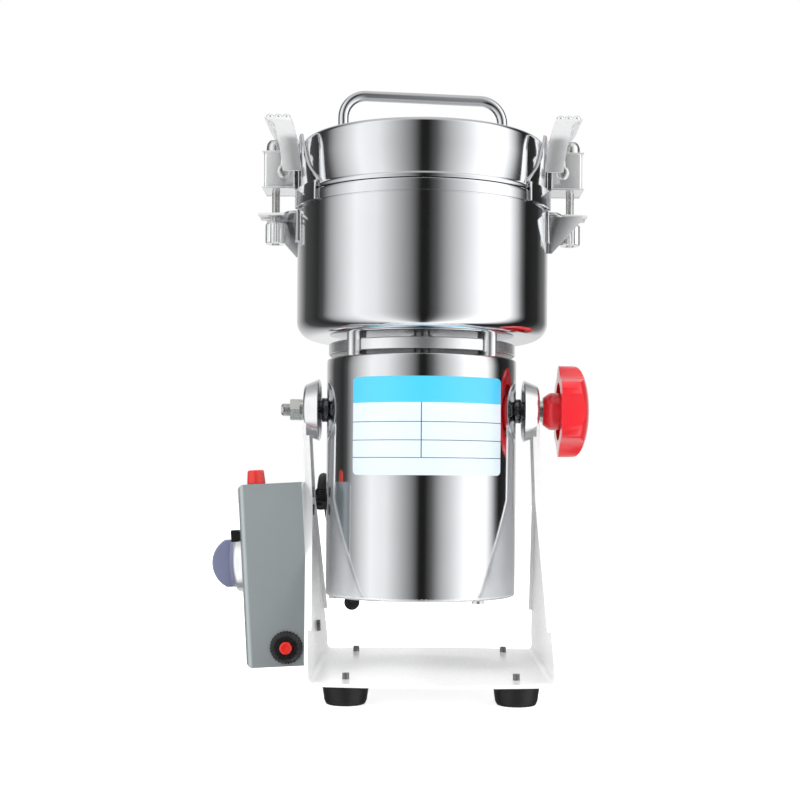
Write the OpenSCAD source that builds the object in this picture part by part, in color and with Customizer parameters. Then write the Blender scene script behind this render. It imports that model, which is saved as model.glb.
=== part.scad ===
// Electric grain mill: a tilting motor and jar in a sheet steel stand, with a control box on one arm.
// Millimetres. The origin lies on the table, below the middle of the whole width.

/* [Stand] */
// Width of the base plate, over the bends
base_w = 141; // [132:1:160]
// Depth of the base plate at its sides
base_d = 160; // [140:1:190]
// How far the front and back edges of the base bow out
base_bow = 7; // [2:0.5:12]
// Thickness of the stand's sheet
sheet_t = 2; // [1.5:0.1:2.5]
// Outer radius of the bends beside the base
bend_r = 5; // [4:0.5:8]
// Height of the tilt axis above the table
pivot_z = 170; // [168:1:185]
// How far the base stands off to the right of the mill's axis
base_shift = 6.5; // [0:0.5:8]
// Width of an arm just below its head
neck_w = 26; // [22:1:32]
// Diameter of the flat outer face of an arm's head
head_face_d = 32; // [28:1:36]
// Diameter of the open rim of an arm's head
head_rim_d = 38; // [36:1:42]
// How deep the head is drawn
head_depth = 9.2; // [7:0.2:11]
// Width of the stiffening flange along the arms' edges
arm_flange = 4; // [3:0.5:6]

/* [Feet] */
// Height of a rubber foot
foot_h = 12; // [9:0.5:16]
// Diameter of a foot under the plate
foot_top_d = 27; // [22:0.5:30]
// Diameter of a foot on the table
foot_low_d = 21.5; // [18:0.5:24]
// Distance between the feet from side to side
foot_pitch_x = 97; // [80:1:106]
// Distance between the feet from front to back
foot_pitch_y = 128; // [100:1:134]
// Diameter of a foot screw
foot_screw_d = 4; // [3:0.5:5]
// How far a foot screw stands up through the plate
foot_screw_up = 3.5; // [3:0.5:6]

/* [Motor] */
// Diameter of the motor housing
motor_d = 116; // [112:1:117]
// Height of the motor housing with its covers
motor_h = 143.5; // [140:0.5:148]
// How far the housing reaches below the tilt axis
motor_drop = 113; // [108:1:116]
// Thickness of the motor's sheet
motor_wall = 1; // [0.8:0.1:1.5]
// Diameter of the motor shaft
shaft_d = 10; // [8:0.5:12]
// Diameter of the stator core
stator_d = 84; // [80:1:90]
// Height of the stator core
stator_h = 44; // [36:1:48]
// Distance of the cooling fan's edge from the pillars round it
fan_room = 2.5; // [1:0.1:7]
// Diameter of the plate between motor and jar
disc_d = 114; // [100:1:118]
// Thickness of the dark plate
disc_h = 7; // [5:0.5:8]
// Diameter of the posts that carry the jar
post_d = 8.8; // [7:0.2:10]

/* [Pivot] */
// Diameter of the pivot studs
stud_d = 8; // [6:0.5:9]
// Diameter of the spacer nuts between motor and arms
boss_d = 12; // [11:0.5:14]
// Height of a pivot washer
washer_t = 2.6; // [1.5:0.1:3]
// Diameter of a pivot washer
washer_d = 13.4; // [12.6:0.2:18]

/* [Clamp knob] */
// Diameter over the knob's lobes
knob_d = 56; // [44:1:60]
// Thickness of the knob's head
knob_t = 18.5; // [14:0.5:22]
// Number of lobes
knob_lobes = 6; // [5:1:8]
// Diameter of the knob's hub
hub_d = 23; // [18:1:26]
// Length of the hub between washer and head
hub_l = 9.6; // [7:0.2:12]
// Wall of the hollow knob head
knob_wall = 3; // [2:0.5:4]

/* [Control box] */
// Width of the box, away from the arm
box_w = 38; // [36:0.5:44]
// Depth of the box, front to back
box_d = 76; // [72:1:80]
// Height of the box
box_h = 108; // [104:1:112]
// Height of the box's lower face above the table
box_low = 18; // [16:0.5:22]
// Radius of the box's outer edges
box_r = 4; // [2:0.5:6]
// Wall of the box
box_wall = 2; // [1.5:0.1:3]

/* [Controls] */
// Diameter of the timer's collar
timer_collar_d = 41; // [36:0.5:46]
// How far the timer's collar stands out
timer_collar_h = 8.5; // [6:0.1:10]
// Diameter of the timer knob's turning disc
timer_disc_d = 30; // [24:0.5:34]
// How far the timer's grip fin stands out
timer_fin_h = 15; // [10:0.5:18]
// Thickness of the grip fin
timer_fin_t = 7; // [5:0.5:9]
// Width of the rocker switch's frame
switch_w = 15; // [13:0.5:18]
// Height of the rocker switch's frame
switch_h = 10.5; // [9:0.5:13]
// Diameter of the ring nut round the reset button
ring_d = 19.4; // [17:0.2:21]
// Diameter of the reset button
reset_d = 7.4; // [6:0.2:9]
// Travel of the reset button
reset_travel = 2; // [1:0.5:2.5]
// Diameter of the indicator lamp at its foot
lamp_d = 11.5; // [9:0.5:13]
// Height of the indicator lamp
lamp_h = 8.5; // [6:0.5:11]

/* [Jar] */
// Outer diameter of the grinding jar
jar_d = 153.2; // [150:0.2:156]
// Height of the jar
jar_h = 84; // [78:1:100]
// Wall of the jar
jar_wall = 1.2; // [0.8:0.1:1.6]
// Outer radius of the jar's lower corner
jar_r = 10.4; // [6:0.2:12]
// Length of a blade from tip to tip
blade_l = 124; // [100:1:136]
// Width of a blade
blade_w = 14; // [12:0.5:18]
// Thickness of a blade
blade_t = 2.4; // [1.8:0.1:3]

/* [Lid] */
// Diameter of the lid's wall
lid_d = 148.8; // [146:0.2:150]
// Height of the lid
lid_h = 35; // [26:0.5:40]
// Radius of the lid's upper edge
lid_r = 3; // [2:0.5:11]
// Width of the handle, outside its legs
handle_w = 105; // [90:1:115]
// Height of the handle above the lid
handle_h = 33; // [28:1:38]
// Diameter of the handle's rod
handle_rod_d = 6.4; // [5:0.2:8]
// Outer radius of the handle's corners
handle_r = 17; // [12:1:22]
// How far the handle is turned round from the clasps, in degrees
handle_turn = 8; // [0:1:12]

/* [Clasps] */
// Distance of a clasp's rod from the jar's wall
rod_stand = 13.7; // [13:0.1:15.4]
// Diameter of a clasp's threaded rod
rod_d = 5; // [4:0.2:5.4]
// Width of a clasp's case, round the jar
case_w = 24; // [20:0.5:28]
// Distance of a clasp's case from the lid's ears
case_clear = 1.6; // [1.6:0.1:3]
// Height of a clasp's case
case_h = 22.8; // [20:0.2:25]
// Half the span of a lever's arch
arch_half = 39; // [36:0.5:42]
// Height of a lever from its ends to its crown
arch_h = 38.5; // [34:0.5:42]
// Width of a lever's strap
strap_w = 11; // [9:0.5:13]
// Thickness of a lever's strap
strap_t = 1.8; // [1.4:0.1:2.4]
// Width of a lever's crown, across its finger ridges
crown_w = 16; // [14:0.5:18]
// Diameter of the knurled nut
nut_d = 12.8; // [11:0.2:13]

/* [Hidden] */
$fn = 64;
cut = 1;
fit = 0.05;
gap = 0.3;
seat = 0.1;

// Levels above the table
base_top = foot_h + sheet_t;
motor_low = pivot_z - motor_drop;
motor_top_z = motor_low + motor_h;
post_gap = 2.5;
disc_z = motor_top_z + post_gap;
jar_gap = 3;
jar_low = disc_z + disc_h + jar_gap;
jar_top = jar_low + jar_h;
lid_top = jar_top + lid_h;
handle_top = lid_top + handle_h;

// Radii about the mill's axis
motor_r = motor_d / 2;
motor_in = motor_r - motor_wall;
shaft_r = shaft_d / 2;
jar_outer = jar_d / 2;
jar_in = jar_outer - jar_wall;
rod_r = jar_outer + rod_stand;
armature_d = stator_d * 0.548;
lid_outer = lid_d / 2;

// Pivot stack, measured outwards from the mill's axis
rim_gap = 4.6;
arm_rim_x = motor_r + rim_gap;
arm_x = arm_rim_x + head_depth;
washer_x = arm_x + washer_t;
hub_end_x = washer_x + hub_l;
stud_r = stud_d / 2;
stud_head_r = 7;
stud_head_t = 4;
stud_in_x = motor_in - stud_head_r * stud_head_r / (2 * motor_in) - stud_head_t - seat;
pivot_nut_l = 6;
pivot_nut_d = 14.6;
left_stud_x = washer_x + pivot_nut_l + stud_d * 0.7;
right_stud_x = hub_end_x + knob_t * 0.45;
knob_out_x = hub_end_x + knob_t;

// Control box in its own leaning frame
lean_rise = pivot_z - head_face_d / 2 - foot_h - bend_r;
lean = atan((arm_x - (base_w / 2 - base_shift)) / lean_rise);
box_foot_x = base_w / 2 - base_shift + (box_low - foot_h - bend_r) * tan(lean);
reach_left = box_foot_x + (box_w + timer_collar_h + timer_fin_h) * cos(lean) + box_h * sin(lean) * 0.6;
mill_x = (reach_left - knob_out_x) / 2;

timer_y = 8;
timer_z = box_h * 0.555;
switch_y = -box_d * 0.31;
switch_z = box_h * 0.72;
ring_x = box_w * 0.36;
ring_z = box_h * 0.105;
lamp_x = box_w * 0.78;
lamp_y = -12;

// Motor lead, in millimetres from the mill's axis and the table
lead_d = 6;
lead_sides = 10;
lead_step = 14;
lead_rows = [
    [-5.4, 32, 120], [-5.4, 36.5, 124], [-5.4, 43, 127.5], [-5.4, 50.5, 128.6], [-5.3, 58, 127.4],
    [-5, 65.5, 123.3], [-4.4, 71.5, 116], [-3.4, 74.2, 106], [-1.6, 74.6, 96], [1, 74.6, 85],
    [4.5, 73.6, 73], [8, 69.6, 61.5], [11.2, 61, 53], [14, 50, 50], [15, 41, 50], [15, 32, 50]
];
lead_points = [for (p = lead_rows) [p[0] - motor_d / 2, p[1], p[2]]];
lead_start = lead_points[0];
lead_end = lead_points[len(lead_points) - 1];
// How far the sleeve of the gland by the arm leans back
lead_tilt = 42;

// Shared shapes

module at_mill() {
    translate([mill_x, 0, 0]) children();
}

module at_base() {
    translate([mill_x + base_shift, 0, 0]) children();
}

// The box's frame: x runs out from the arm, z up along it
module at_box() {
    at_mill() translate([-box_foot_x, 0, box_low]) rotate([0, -lean, 0]) mirror([1, 0, 0]) children();
}

// A clasp's frame: x runs out from the jar's axis, the right clasp at side 1
module at_clasp(side) {
    at_mill() rotate([0, 0, side > 0 ? 0 : 180]) children();
}

module ring(outer_r, inner_r, height) {
    difference() {
        cylinder(r = outer_r, h = height);
        translate([0, 0, -cut]) cylinder(r = inner_r, h = height + 2 * cut);
    }
}

// A cylinder along X from x1 to x2
module rod_x(radius, x1, x2) {
    translate([min(x1, x2), 0, 0]) rotate([0, 90, 0]) cylinder(r = radius, h = abs(x2 - x1));
}

// A cylinder along Y, centred
module rod_y(radius, length) {
    rotate([90, 0, 0]) cylinder(r = radius, h = length, center = true);
}

function arc(cx, cy, radius, from, to, steps) =
    [for (i = [0:steps]) let (a = from + (to - from) * i / steps)
        [cx + radius * cos(a), cy + radius * sin(a)]];

// Stand

arc_steps = 6;
base_half = base_w / 2;
left_arm_x = arm_x + base_shift;
right_arm_x = arm_x - base_shift;
arm_top = pivot_z + head_face_d / 2;
head_foot = pivot_z - head_face_d / 2;

// The bent sheet seen from the front, its skin moved inwards by t
function sheet_path(t) = concat(
    [[-left_arm_x + t, arm_top + cut], [-left_arm_x + t, head_foot]],
    arc(-base_half + bend_r, foot_h + bend_r, bend_r - t, 180, 270, arc_steps),
    arc(base_half - bend_r, foot_h + bend_r, bend_r - t, 270, 360, arc_steps),
    [[right_arm_x - t, head_foot], [right_arm_x - t, arm_top + cut]]);

function reversed(list) = [for (i = [len(list) - 1:-1:0]) list[i]];

module bent_sheet(t) {
    rotate([90, 0, 0]) linear_extrude(height = base_d + 4 * base_bow, center = true)
        polygon(concat(sheet_path(0), reversed(sheet_path(t))));
}

// Cuts a side view, drawn in Y and Z, right through the stand
module side_cut() {
    rotate([90, 0, 90]) linear_extrude(height = 2 * base_w, center = true) children();
}

arm_foot_z = foot_h + bend_r + sheet_t;
taper_low_z = arm_foot_z + (pivot_z - arm_foot_z) * 0.045;
taper_top_z = pivot_z - (pivot_z - arm_foot_z) * 0.36;
neck_half = neck_w / 2;
function arm_side(inset) = [
    [-base_d / 2 + inset, arm_foot_z], [-base_d / 2 + inset, taper_low_z],
    [-neck_half + inset, taper_top_z], [-neck_half + inset, pivot_z],
    [neck_half - inset, pivot_z], [neck_half - inset, taper_top_z],
    [base_d / 2 - inset, taper_low_z], [base_d / 2 - inset, arm_foot_z]];

bow_steps = 12;
function bowed_edge(side) = [for (i = [0:bow_steps]) let (s = -1 + 2 * i / bow_steps)
    [side * s * (base_half + cut), side * (base_d / 2 + base_bow * (1 - s * s))]];

module arm_head(x, side) {
    translate([x - side * head_depth, 0, pivot_z]) rotate([0, side * 90, 0]) difference() {
        cylinder(h = head_depth, r1 = head_rim_d / 2, r2 = head_face_d / 2);
        translate([0, 0, -cut / 10]) cylinder(
            h = head_depth - sheet_t, r1 = head_rim_d / 2 - sheet_t, r2 = head_face_d / 2 - sheet_t);
    }
}

box_screw_r = 2;
box_screw_z = [box_h * 0.18, box_h * 0.84, box_h * 0.94];

module box_screw_holes(radius) {
    for (z = box_screw_z)
        at_box() translate([0, 0, z]) rod_x(radius, -sheet_t - cut, box_wall + cut);
}

module stand_bracket() {
    color([0.86, 0.87, 0.88]) difference() {
        at_base() difference() {
            union() {
                intersection() {
                    bent_sheet(sheet_t);
                    union() {
                        side_cut() polygon(arm_side(0));
                        translate([0, 0, foot_h - cut]) linear_extrude(height = arm_foot_z - foot_h + cut)
                            polygon(concat(bowed_edge(-1), bowed_edge(1)));
                    }
                }
                intersection() {
                    bent_sheet(arm_flange);
                    side_cut() difference() {
                        polygon(arm_side(0));
                        polygon(arm_side(sheet_t));
                        translate([-base_d, 0]) square([2 * base_d, taper_low_z + base_d * 0.1]);
                        translate([-base_d, head_foot]) square([2 * base_d, base_d]);
                    }
                }
                arm_head(right_arm_x, 1);
                arm_head(-left_arm_x, -1);
            }
            translate([0, 0, pivot_z]) rod_x(stud_r + fit, -base_w, base_w);
            for (x = [-1, 1], y = [-1, 1])
                translate([x * foot_pitch_x / 2, y * foot_pitch_y / 2, foot_h - cut])
                    cylinder(r = foot_screw_d / 2 + seat, h = sheet_t + 2 * cut);
        }
        box_screw_holes(box_screw_r + seat);
    }
}

foot_recess_r = foot_low_d * 0.2;
foot_recess_h = foot_h * 0.42;
foot_head_t = foot_h * 0.2;

module at_feet() {
    at_base() for (x = [-1, 1], y = [-1, 1])
        translate([x * foot_pitch_x / 2, y * foot_pitch_y / 2, 0]) children();
}

module rubber_feet() {
    color([0.05, 0.05, 0.055]) at_feet() difference() {
        cylinder(h = foot_h, r1 = foot_low_d / 2, r2 = foot_top_d / 2);
        translate([0, 0, -cut]) cylinder(r = foot_recess_r, h = foot_recess_h + cut);
        cylinder(r = foot_screw_d / 2 + seat, h = foot_h + cut);
    }
}

module foot_screws() {
    color([0.2, 0.2, 0.21]) at_feet() {
        translate([0, 0, foot_recess_h - foot_head_t]) cylinder(r = foot_recess_r - seat, h = foot_head_t);
        translate([0, 0, foot_recess_h])
            cylinder(r = foot_screw_d / 2, h = base_top - foot_recess_h + foot_screw_up);
    }
}

// Control box

module rounded_plate(w, d, r, h) {
    linear_extrude(height = h) union() {
        translate([0, r - d / 2]) square([w, d - 2 * r]);
        translate([0, -d / 2]) square([w - r, d]);
        for (y = [-1, 1]) translate([w - r, y * (d / 2 - r)]) circle(r = r);
    }
}

timer_hole_r = 5.5;
lamp_hole_r = lamp_d * 0.35;
ring_hole_r = ring_d * 0.31;
switch_hole_w = switch_w * 0.86;
switch_hole_h = switch_h * 0.82;
gland_hole_r = 4;
gland_r = lead_d * 0.8;
gland_l = lead_d * 2;
gland_flange_t = 2;
lead_gland_y = lead_start[1] - gland_l * sin(lead_tilt) * 0.75;
lead_gland_z = (lead_start[2] - gland_l * cos(lead_tilt) * 0.75 - box_low) / cos(lean);
mains_z = box_h * 0.14;

module at_timer() {
    translate([box_w, timer_y, timer_z]) rotate([0, 90, 0]) children();
}

module control_box() {
    color([0.56, 0.61, 0.62]) difference() {
        at_box() difference() {
            intersection() {
                rounded_plate(box_w, box_d, box_r, box_h);
                translate([0, box_d / 2, box_h / 2]) rotate([90, 0, 0])
                    rounded_plate(box_w, box_h, box_r, box_d);
            }
            translate([-cut, 0, box_wall])
                rounded_plate(box_w - box_wall + cut, box_d - 2 * box_wall, box_r - box_wall / 2,
                    box_h - 2 * box_wall);
            at_timer() cylinder(r = timer_hole_r, h = 3 * box_wall, center = true);
            translate([box_w, switch_y, switch_z])
                cube([3 * box_wall, switch_hole_w, switch_hole_h], center = true);
            translate([ring_x, -box_d / 2, ring_z]) rod_y(ring_hole_r, 3 * box_wall);
            translate([lamp_x, lamp_y, box_h]) cylinder(r = lamp_hole_r, h = 3 * box_wall, center = true);
            translate([box_w / 2, box_d / 2, mains_z]) rod_y(gland_hole_r + seat, 3 * box_wall);
        }
    }
}

module box_cover() {
    color([0.5, 0.52, 0.54]) difference() {
        at_box() difference() {
            translate([0, -box_d / 2 + box_wall, box_wall])
                cube([box_wall, box_d - 2 * box_wall, box_h - 2 * box_wall]);
            translate([0, lead_gland_y, lead_gland_z]) rod_x(gland_hole_r + seat, -cut, box_wall + cut);
        }
        box_screw_holes(box_screw_r + seat);
    }
}

box_screw_head_r = 3.4;
box_screw_head_t = 2;

module box_screws() {
    color([0.25, 0.25, 0.27]) for (z = box_screw_z) at_box() translate([0, 0, z]) {
        rod_x(box_screw_r, -sheet_t, box_wall + 2 * box_screw_head_t);
        rod_x(box_screw_head_r, -sheet_t - box_screw_head_t, -sheet_t);
    }
}

timer_body_r = box_h * 0.2;
timer_body_h = box_w * 0.5;
timer_shaft_r = 3;
timer_nut_h = 1.2;
timer_rim = 1.8;

module timer_body() {
    color([0.85, 0.85, 0.8]) at_box() at_timer() difference() {
        union() {
            translate([0, 0, -box_wall - timer_body_h]) cylinder(r = timer_body_r, h = timer_body_h);
            translate([0, 0, -box_wall]) cylinder(r = timer_hole_r - seat, h = box_wall);
        }
        translate([0, 0, -box_wall - timer_body_h / 2]) cylinder(r = timer_shaft_r + fit, h = timer_body_h);
    }
}

module timer_collar() {
    color([0.78, 0.8, 0.82]) at_box() at_timer() difference() {
        union() {
            cylinder(r = timer_collar_d / 2, h = timer_collar_h * 0.25);
            cylinder(r1 = timer_collar_d / 2, r2 = timer_disc_d / 2 + timer_rim, h = timer_collar_h);
        }
        translate([0, 0, timer_nut_h]) cylinder(r = timer_disc_d / 2 + gap, h = timer_collar_h);
        translate([0, 0, -cut]) cylinder(r = timer_hole_r, h = timer_collar_h + 2 * cut);
    }
}

module timer_knob() {
    fin_r = timer_disc_d / 2 - gap;
    color([0.52, 0.53, 0.66]) at_box() at_timer() union() {
        translate([0, 0, timer_nut_h + gap]) cylinder(r = timer_disc_d / 2, h = timer_collar_h);
        translate([0, 0, timer_collar_h]) intersection() {
            translate([-fin_r, -timer_fin_t / 2, 0]) cube([2 * fin_r, timer_fin_t, timer_fin_h]);
            translate([0, 0, timer_fin_h - fin_r * 1.15]) rod_y(fin_r * 1.15, 2 * timer_fin_t);
        }
        translate([0, 0, -box_wall - timer_body_h / 2 + seat])
            cylinder(r = timer_shaft_r, h = timer_body_h / 2 + box_wall + timer_collar_h);
    }
}

rocker_w = switch_w * 0.62;
rocker_h = switch_h * 0.6;
frame_t = 1.6;
switch_body_l = box_w * 0.35;
rocker_rise = 2.2;
rocker_pin_r = 0.8;
rocker_pin_l = rocker_w + 4 * rocker_pin_r;
rocker_tilt = 9;

module switch_frame() {
    color([0.06, 0.06, 0.065]) at_box() translate([box_w, switch_y, switch_z]) difference() {
        union() {
            translate([0, -switch_w / 2, -switch_h / 2]) cube([frame_t, switch_w, switch_h]);
            translate([-switch_body_l, seat - switch_hole_w / 2, seat - switch_hole_h / 2])
                cube([switch_body_l, switch_hole_w - 2 * seat, switch_hole_h - 2 * seat]);
        }
        translate([-rocker_h, -rocker_w / 2 - gap, -rocker_h / 2 - gap])
            cube([rocker_h + frame_t + cut, rocker_w + 2 * gap, rocker_h + 2 * gap]);
        rod_y(rocker_pin_r + fit, rocker_pin_l + 2 * seat);
    }
}

// The rocker turns on a pin along Y in its frame
module switch_rocker() {
    rocker_arm = rocker_h / 2 - seat;
    color([0.08, 0.08, 0.085]) at_box() translate([box_w, switch_y, switch_z]) union() {
        rotate([0, rocker_tilt, 0]) rotate([90, 0, 0])
            linear_extrude(height = rocker_w, center = true) polygon([
                [-rocker_h * 0.35, -rocker_arm * 0.45], [rocker_rise * 0.5, -rocker_arm * 0.94],
                [rocker_rise, -rocker_arm * 0.9], [rocker_rise * 0.72, 0], [rocker_rise, rocker_arm * 0.9],
                [rocker_rise * 0.5, rocker_arm * 0.94], [-rocker_h * 0.35, rocker_arm * 0.45]]);
        rod_y(rocker_pin_r, rocker_pin_l);
    }
}

lamp_sides = 8;

module indicator_lamp() {
    color([0.9, 0.12, 0.08]) at_box() translate([lamp_x, lamp_y, box_h]) union() {
        cylinder(r1 = lamp_d / 2, r2 = lamp_d * 0.43, h = lamp_h, $fn = lamp_sides);
        translate([0, 0, -lamp_h]) cylinder(r = lamp_hole_r - seat, h = lamp_h + seat);
    }
}

ring_t = 3.4;
breaker_l = box_d * 0.42;
button_rise = 1;
button_out = ring_t + reset_travel + button_rise;

// The breaker's frame: z runs out of the box's front
module at_breaker() {
    at_box() translate([ring_x, -box_d / 2, ring_z]) rotate([90, 0, 0]) children();
}

module breaker_body() {
    block = ring_hole_r * 2.1;
    color([0.1, 0.1, 0.11]) at_breaker() difference() {
        union() {
            translate([-block / 2, -block / 2, -box_wall - breaker_l]) cube([block, block, breaker_l]);
            translate([0, 0, -box_wall - seat]) cylinder(r = ring_hole_r - seat, h = box_wall + ring_t * 0.7);
        }
        translate([0, 0, -box_wall - breaker_l / 2]) cylinder(r = reset_d / 2 + fit, h = breaker_l);
    }
}

module breaker_ring_nut() {
    ridges = 24;
    color([0.04, 0.04, 0.045]) at_breaker() difference() {
        union() {
            cylinder(r = ring_d / 2 - seat, h = ring_t * 0.35);
            cylinder(r1 = ring_d / 2 - seat, r2 = ring_d * 0.36, h = ring_t);
            for (i = [0:ridges - 1]) rotate([0, 0, i * 360 / ridges])
                translate([ring_d / 2 - 4 * seat, -2 * seat, 0]) cube([4 * seat, 4 * seat, ring_t * 0.35]);
        }
        translate([0, 0, -cut]) cylinder(r = ring_hole_r - seat + fit, h = ring_t * 0.7 + cut);
        translate([0, 0, -cut]) cylinder(r = reset_d / 2 + seat, h = ring_t + 2 * cut);
    }
}

module reset_button() {
    shank = breaker_l / 2 - reset_travel;
    color([0.88, 0.1, 0.08]) at_breaker()
        translate([0, 0, -box_wall - breaker_l / 2 + reset_travel + seat]) union() {
            cylinder(r = reset_d / 2, h = shank + box_wall + button_out - reset_d * 0.12);
            cylinder(r = reset_d * 0.38, h = shank + box_wall + button_out);
        }
}

// The gland by the arm: a stub through the cover and a sleeve that leans back
module lead_gland() {
    color([0.05, 0.05, 0.05]) union() {
        at_mill() translate(lead_start) rotate([-lead_tilt, 0, 0]) translate([0, 0, -gland_l])
            cylinder(r1 = gland_r, r2 = lead_d * 0.62, h = gland_l);
        at_box() translate([0, lead_gland_y, lead_gland_z]) {
            rod_x(gland_hole_r, -gland_r * 1.2, 2 * box_wall);
            rod_x(gland_hole_r * 1.3, -gland_flange_t, 0);
        }
    }
}

module mains_gland() {
    color([0.05, 0.05, 0.05]) at_box() translate([box_w / 2, box_d / 2, mains_z])
        rotate([-90, 0, 0]) difference() {
            union() {
                translate([0, 0, -box_wall * 2]) cylinder(r = gland_hole_r, h = box_wall * 2);
                cylinder(r = gland_hole_r * 1.7, h = box_wall);
                cylinder(r1 = gland_hole_r * 1.5, r2 = gland_hole_r * 1.1, h = gland_hole_r * 2);
            }
            translate([0, 0, -box_wall * 3]) cylinder(r = lead_d / 2, h = gland_hole_r * 5);
        }
}

module pivot_washers() {
    color([0.8, 0.8, 0.78]) at_mill() translate([0, 0, pivot_z]) for (side = [-1, 1]) difference() {
        rod_x(washer_d / 2, side * arm_x, side * washer_x);
        rod_x(stud_r + fit, side * (arm_x - cut), side * (washer_x + cut));
    }
}

// Motor lead

function unit(v) = v / norm(v);
function lead_dir(i) = unit(lead_points[min(i + 1, len(lead_points) - 1)] - lead_points[max(i - 1, 0)]);
// Ends of the lead stand square to their glands
function ring_dir(i) = i == 0 ? [0, sin(lead_tilt), cos(lead_tilt)]
    : i == len(lead_points) - 1 ? [0, -1, 0] : lead_dir(i);
function lead_ring(i) = let (d = ring_dir(i), side = unit(cross(d, [1, 0, 0])), up = cross(side, d))
    [for (k = [0:lead_sides - 1]) let (a = k * 360 / lead_sides)
        lead_points[i] + lead_d / 2 * (cos(a) * side + sin(a) * up)];

module motor_lead() {
    rings = len(lead_points);
    points = [for (i = [0:rings - 1]) each lead_ring(i)];
    walls = [for (i = [0:rings - 2], k = [0:lead_sides - 1])
        let (n = (k + 1) % lead_sides, a = i * lead_sides, b = a + lead_sides)
        each [[a + k, a + n, b + k], [a + n, b + n, b + k]]];
    first_cap = [for (k = [1:lead_sides - 2]) [0, k + 1, k]];
    last = (rings - 1) * lead_sides;
    last_cap = [for (k = [1:lead_sides - 2]) [last, last + k, last + k + 1]];
    color([0.05, 0.05, 0.05]) at_mill()
        polyhedron(points = points, faces = concat(walls, first_cap, last_cap));
}

// Clamp knob

module clamp_knob() {
    lobe_r = knob_d * 0.16;
    core_r = knob_d / 2 - lobe_r * 0.8;
    hollow_h = knob_t - knob_wall + cut;
    color([0.86, 0.13, 0.16]) at_mill() translate([0, 0, pivot_z]) rotate([0, 90, 0]) difference() {
        union() {
            translate([0, 0, washer_x]) cylinder(r = hub_d / 2, h = hub_l + knob_t * 0.62);
            translate([0, 0, hub_end_x]) difference() {
                union() {
                    cylinder(r = core_r, h = knob_t);
                    for (i = [0:knob_lobes - 1]) rotate([0, 0, i * 360 / knob_lobes])
                        translate([knob_d / 2 - lobe_r, 0, 0]) cylinder(r = lobe_r, h = knob_t);
                }
                translate([0, 0, -cut]) cylinder(r = core_r - knob_wall, h = hollow_h);
                for (i = [0:knob_lobes - 1]) rotate([0, 0, i * 360 / knob_lobes])
                    translate([knob_d / 2 - lobe_r, 0, -cut]) cylinder(r = lobe_r - knob_wall, h = hollow_h);
            }
            translate([0, 0, hub_end_x]) cylinder(r = hub_d / 2, h = knob_t - knob_wall / 2);
        }
        translate([0, 0, washer_x - cut]) cylinder(r = stud_r + fit, h = right_stud_x - washer_x + 2 * cut);
    }
}

// Motor

cover_t = 2;
spigot_h = 5;
cover_screw_r = 1.8;
cover_screw_ring = motor_in * 0.925;
cover_screw_turn = 70;
housing_low_z = motor_low + cover_t;
housing_top_z = motor_top_z - cover_t;

module motor_housing() {
    color([0.8, 0.81, 0.83]) at_mill() difference() {
        translate([0, 0, housing_low_z]) ring(motor_r, motor_in, housing_top_z - housing_low_z);
        translate([0, 0, pivot_z]) rod_x(stud_r + seat, -motor_d, motor_d);
    }
}

post_x = disc_d * 0.35;
post_y = disc_d * 0.307;

module at_posts() {
    for (x = [-1, 1], y = [-1, 1]) translate([x * post_x, y * post_y, 0]) children();
}

bearing_d = shaft_d * 3;
bearing_w = shaft_d * 0.9;
shaft_play = 2;
shaft_hole_r = shaft_r + shaft_play;

module motor_top() {
    color([0.78, 0.79, 0.8]) at_mill() difference() {
        union() {
            translate([0, 0, housing_top_z]) cylinder(r = motor_r, h = cover_t);
            translate([0, 0, housing_top_z - spigot_h]) ring(motor_in, motor_in - cover_t, spigot_h);
        }
        translate([0, 0, housing_top_z - cut]) cylinder(r = shaft_hole_r, h = cover_t + 2 * cut);
    }
}

vent_r = 2.4;
vent_rows = 3;

module bottom_cover() {
    color([0.76, 0.77, 0.78]) at_mill() difference() {
        union() {
            translate([0, 0, motor_low])
                cylinder(r1 = motor_r - cover_t * 0.6, r2 = motor_r, h = cover_t * 0.6);
            translate([0, 0, motor_low + cover_t * 0.6]) cylinder(r = motor_r, h = cover_t * 0.4);
            translate([0, 0, housing_low_z]) ring(motor_in, motor_in - cover_t, spigot_h);
        }
        for (row = [1:vent_rows], i = [0:6 * row - 1]) rotate([0, 0, i * 60 / row])
            translate([row * vent_r * 3.2, 0, motor_low - cut]) cylinder(r = vent_r, h = cover_t + 2 * cut);
        for (i = [0:2]) rotate([0, 0, cover_screw_turn + i * 120])
            translate([cover_screw_ring, 0, motor_low - cut])
                cylinder(r = cover_screw_r + seat, h = cover_t + 2 * cut);
        translate([lead_end[0], motor_gland_y, motor_low - cut])
            cylinder(r = gland_hole_r + seat, h = cover_t + 2 * cut);
    }
}

module cover_screws() {
    color([0.7, 0.7, 0.72]) at_mill() for (i = [0:2]) rotate([0, 0, cover_screw_turn + i * 120])
        translate([cover_screw_ring, 0, 0]) {
            translate([0, 0, motor_low]) cylinder(r = cover_screw_r, h = bell_low_z - motor_low + bell_t);
            translate([0, 0, motor_low - cover_screw_r]) cylinder(r = 2 * cover_screw_r, h = cover_screw_r);
        }
}

module support_disc() {
    color([0.72, 0.73, 0.75]) at_mill() difference() {
        translate([0, 0, disc_z]) cylinder(r = disc_d / 2, h = disc_h);
        translate([0, 0, disc_z - cut]) cylinder(r = shaft_hole_r, h = disc_h + 2 * cut);
        for (x = [-1, 1], y = [0, 1]) mirror([0, y, 0]) translate([x * post_x, post_y, disc_z - cut]) {
            cylinder(r = post_d / 2 + fit, h = disc_h + 2 * cut);
            translate([-post_d / 2 - fit, 0, 0]) cube([post_d + 2 * fit, disc_d, disc_h + 2 * cut]);
        }
    }
}

jar_screw_r = 1.9;
jar_screw_l = 8;

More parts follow.
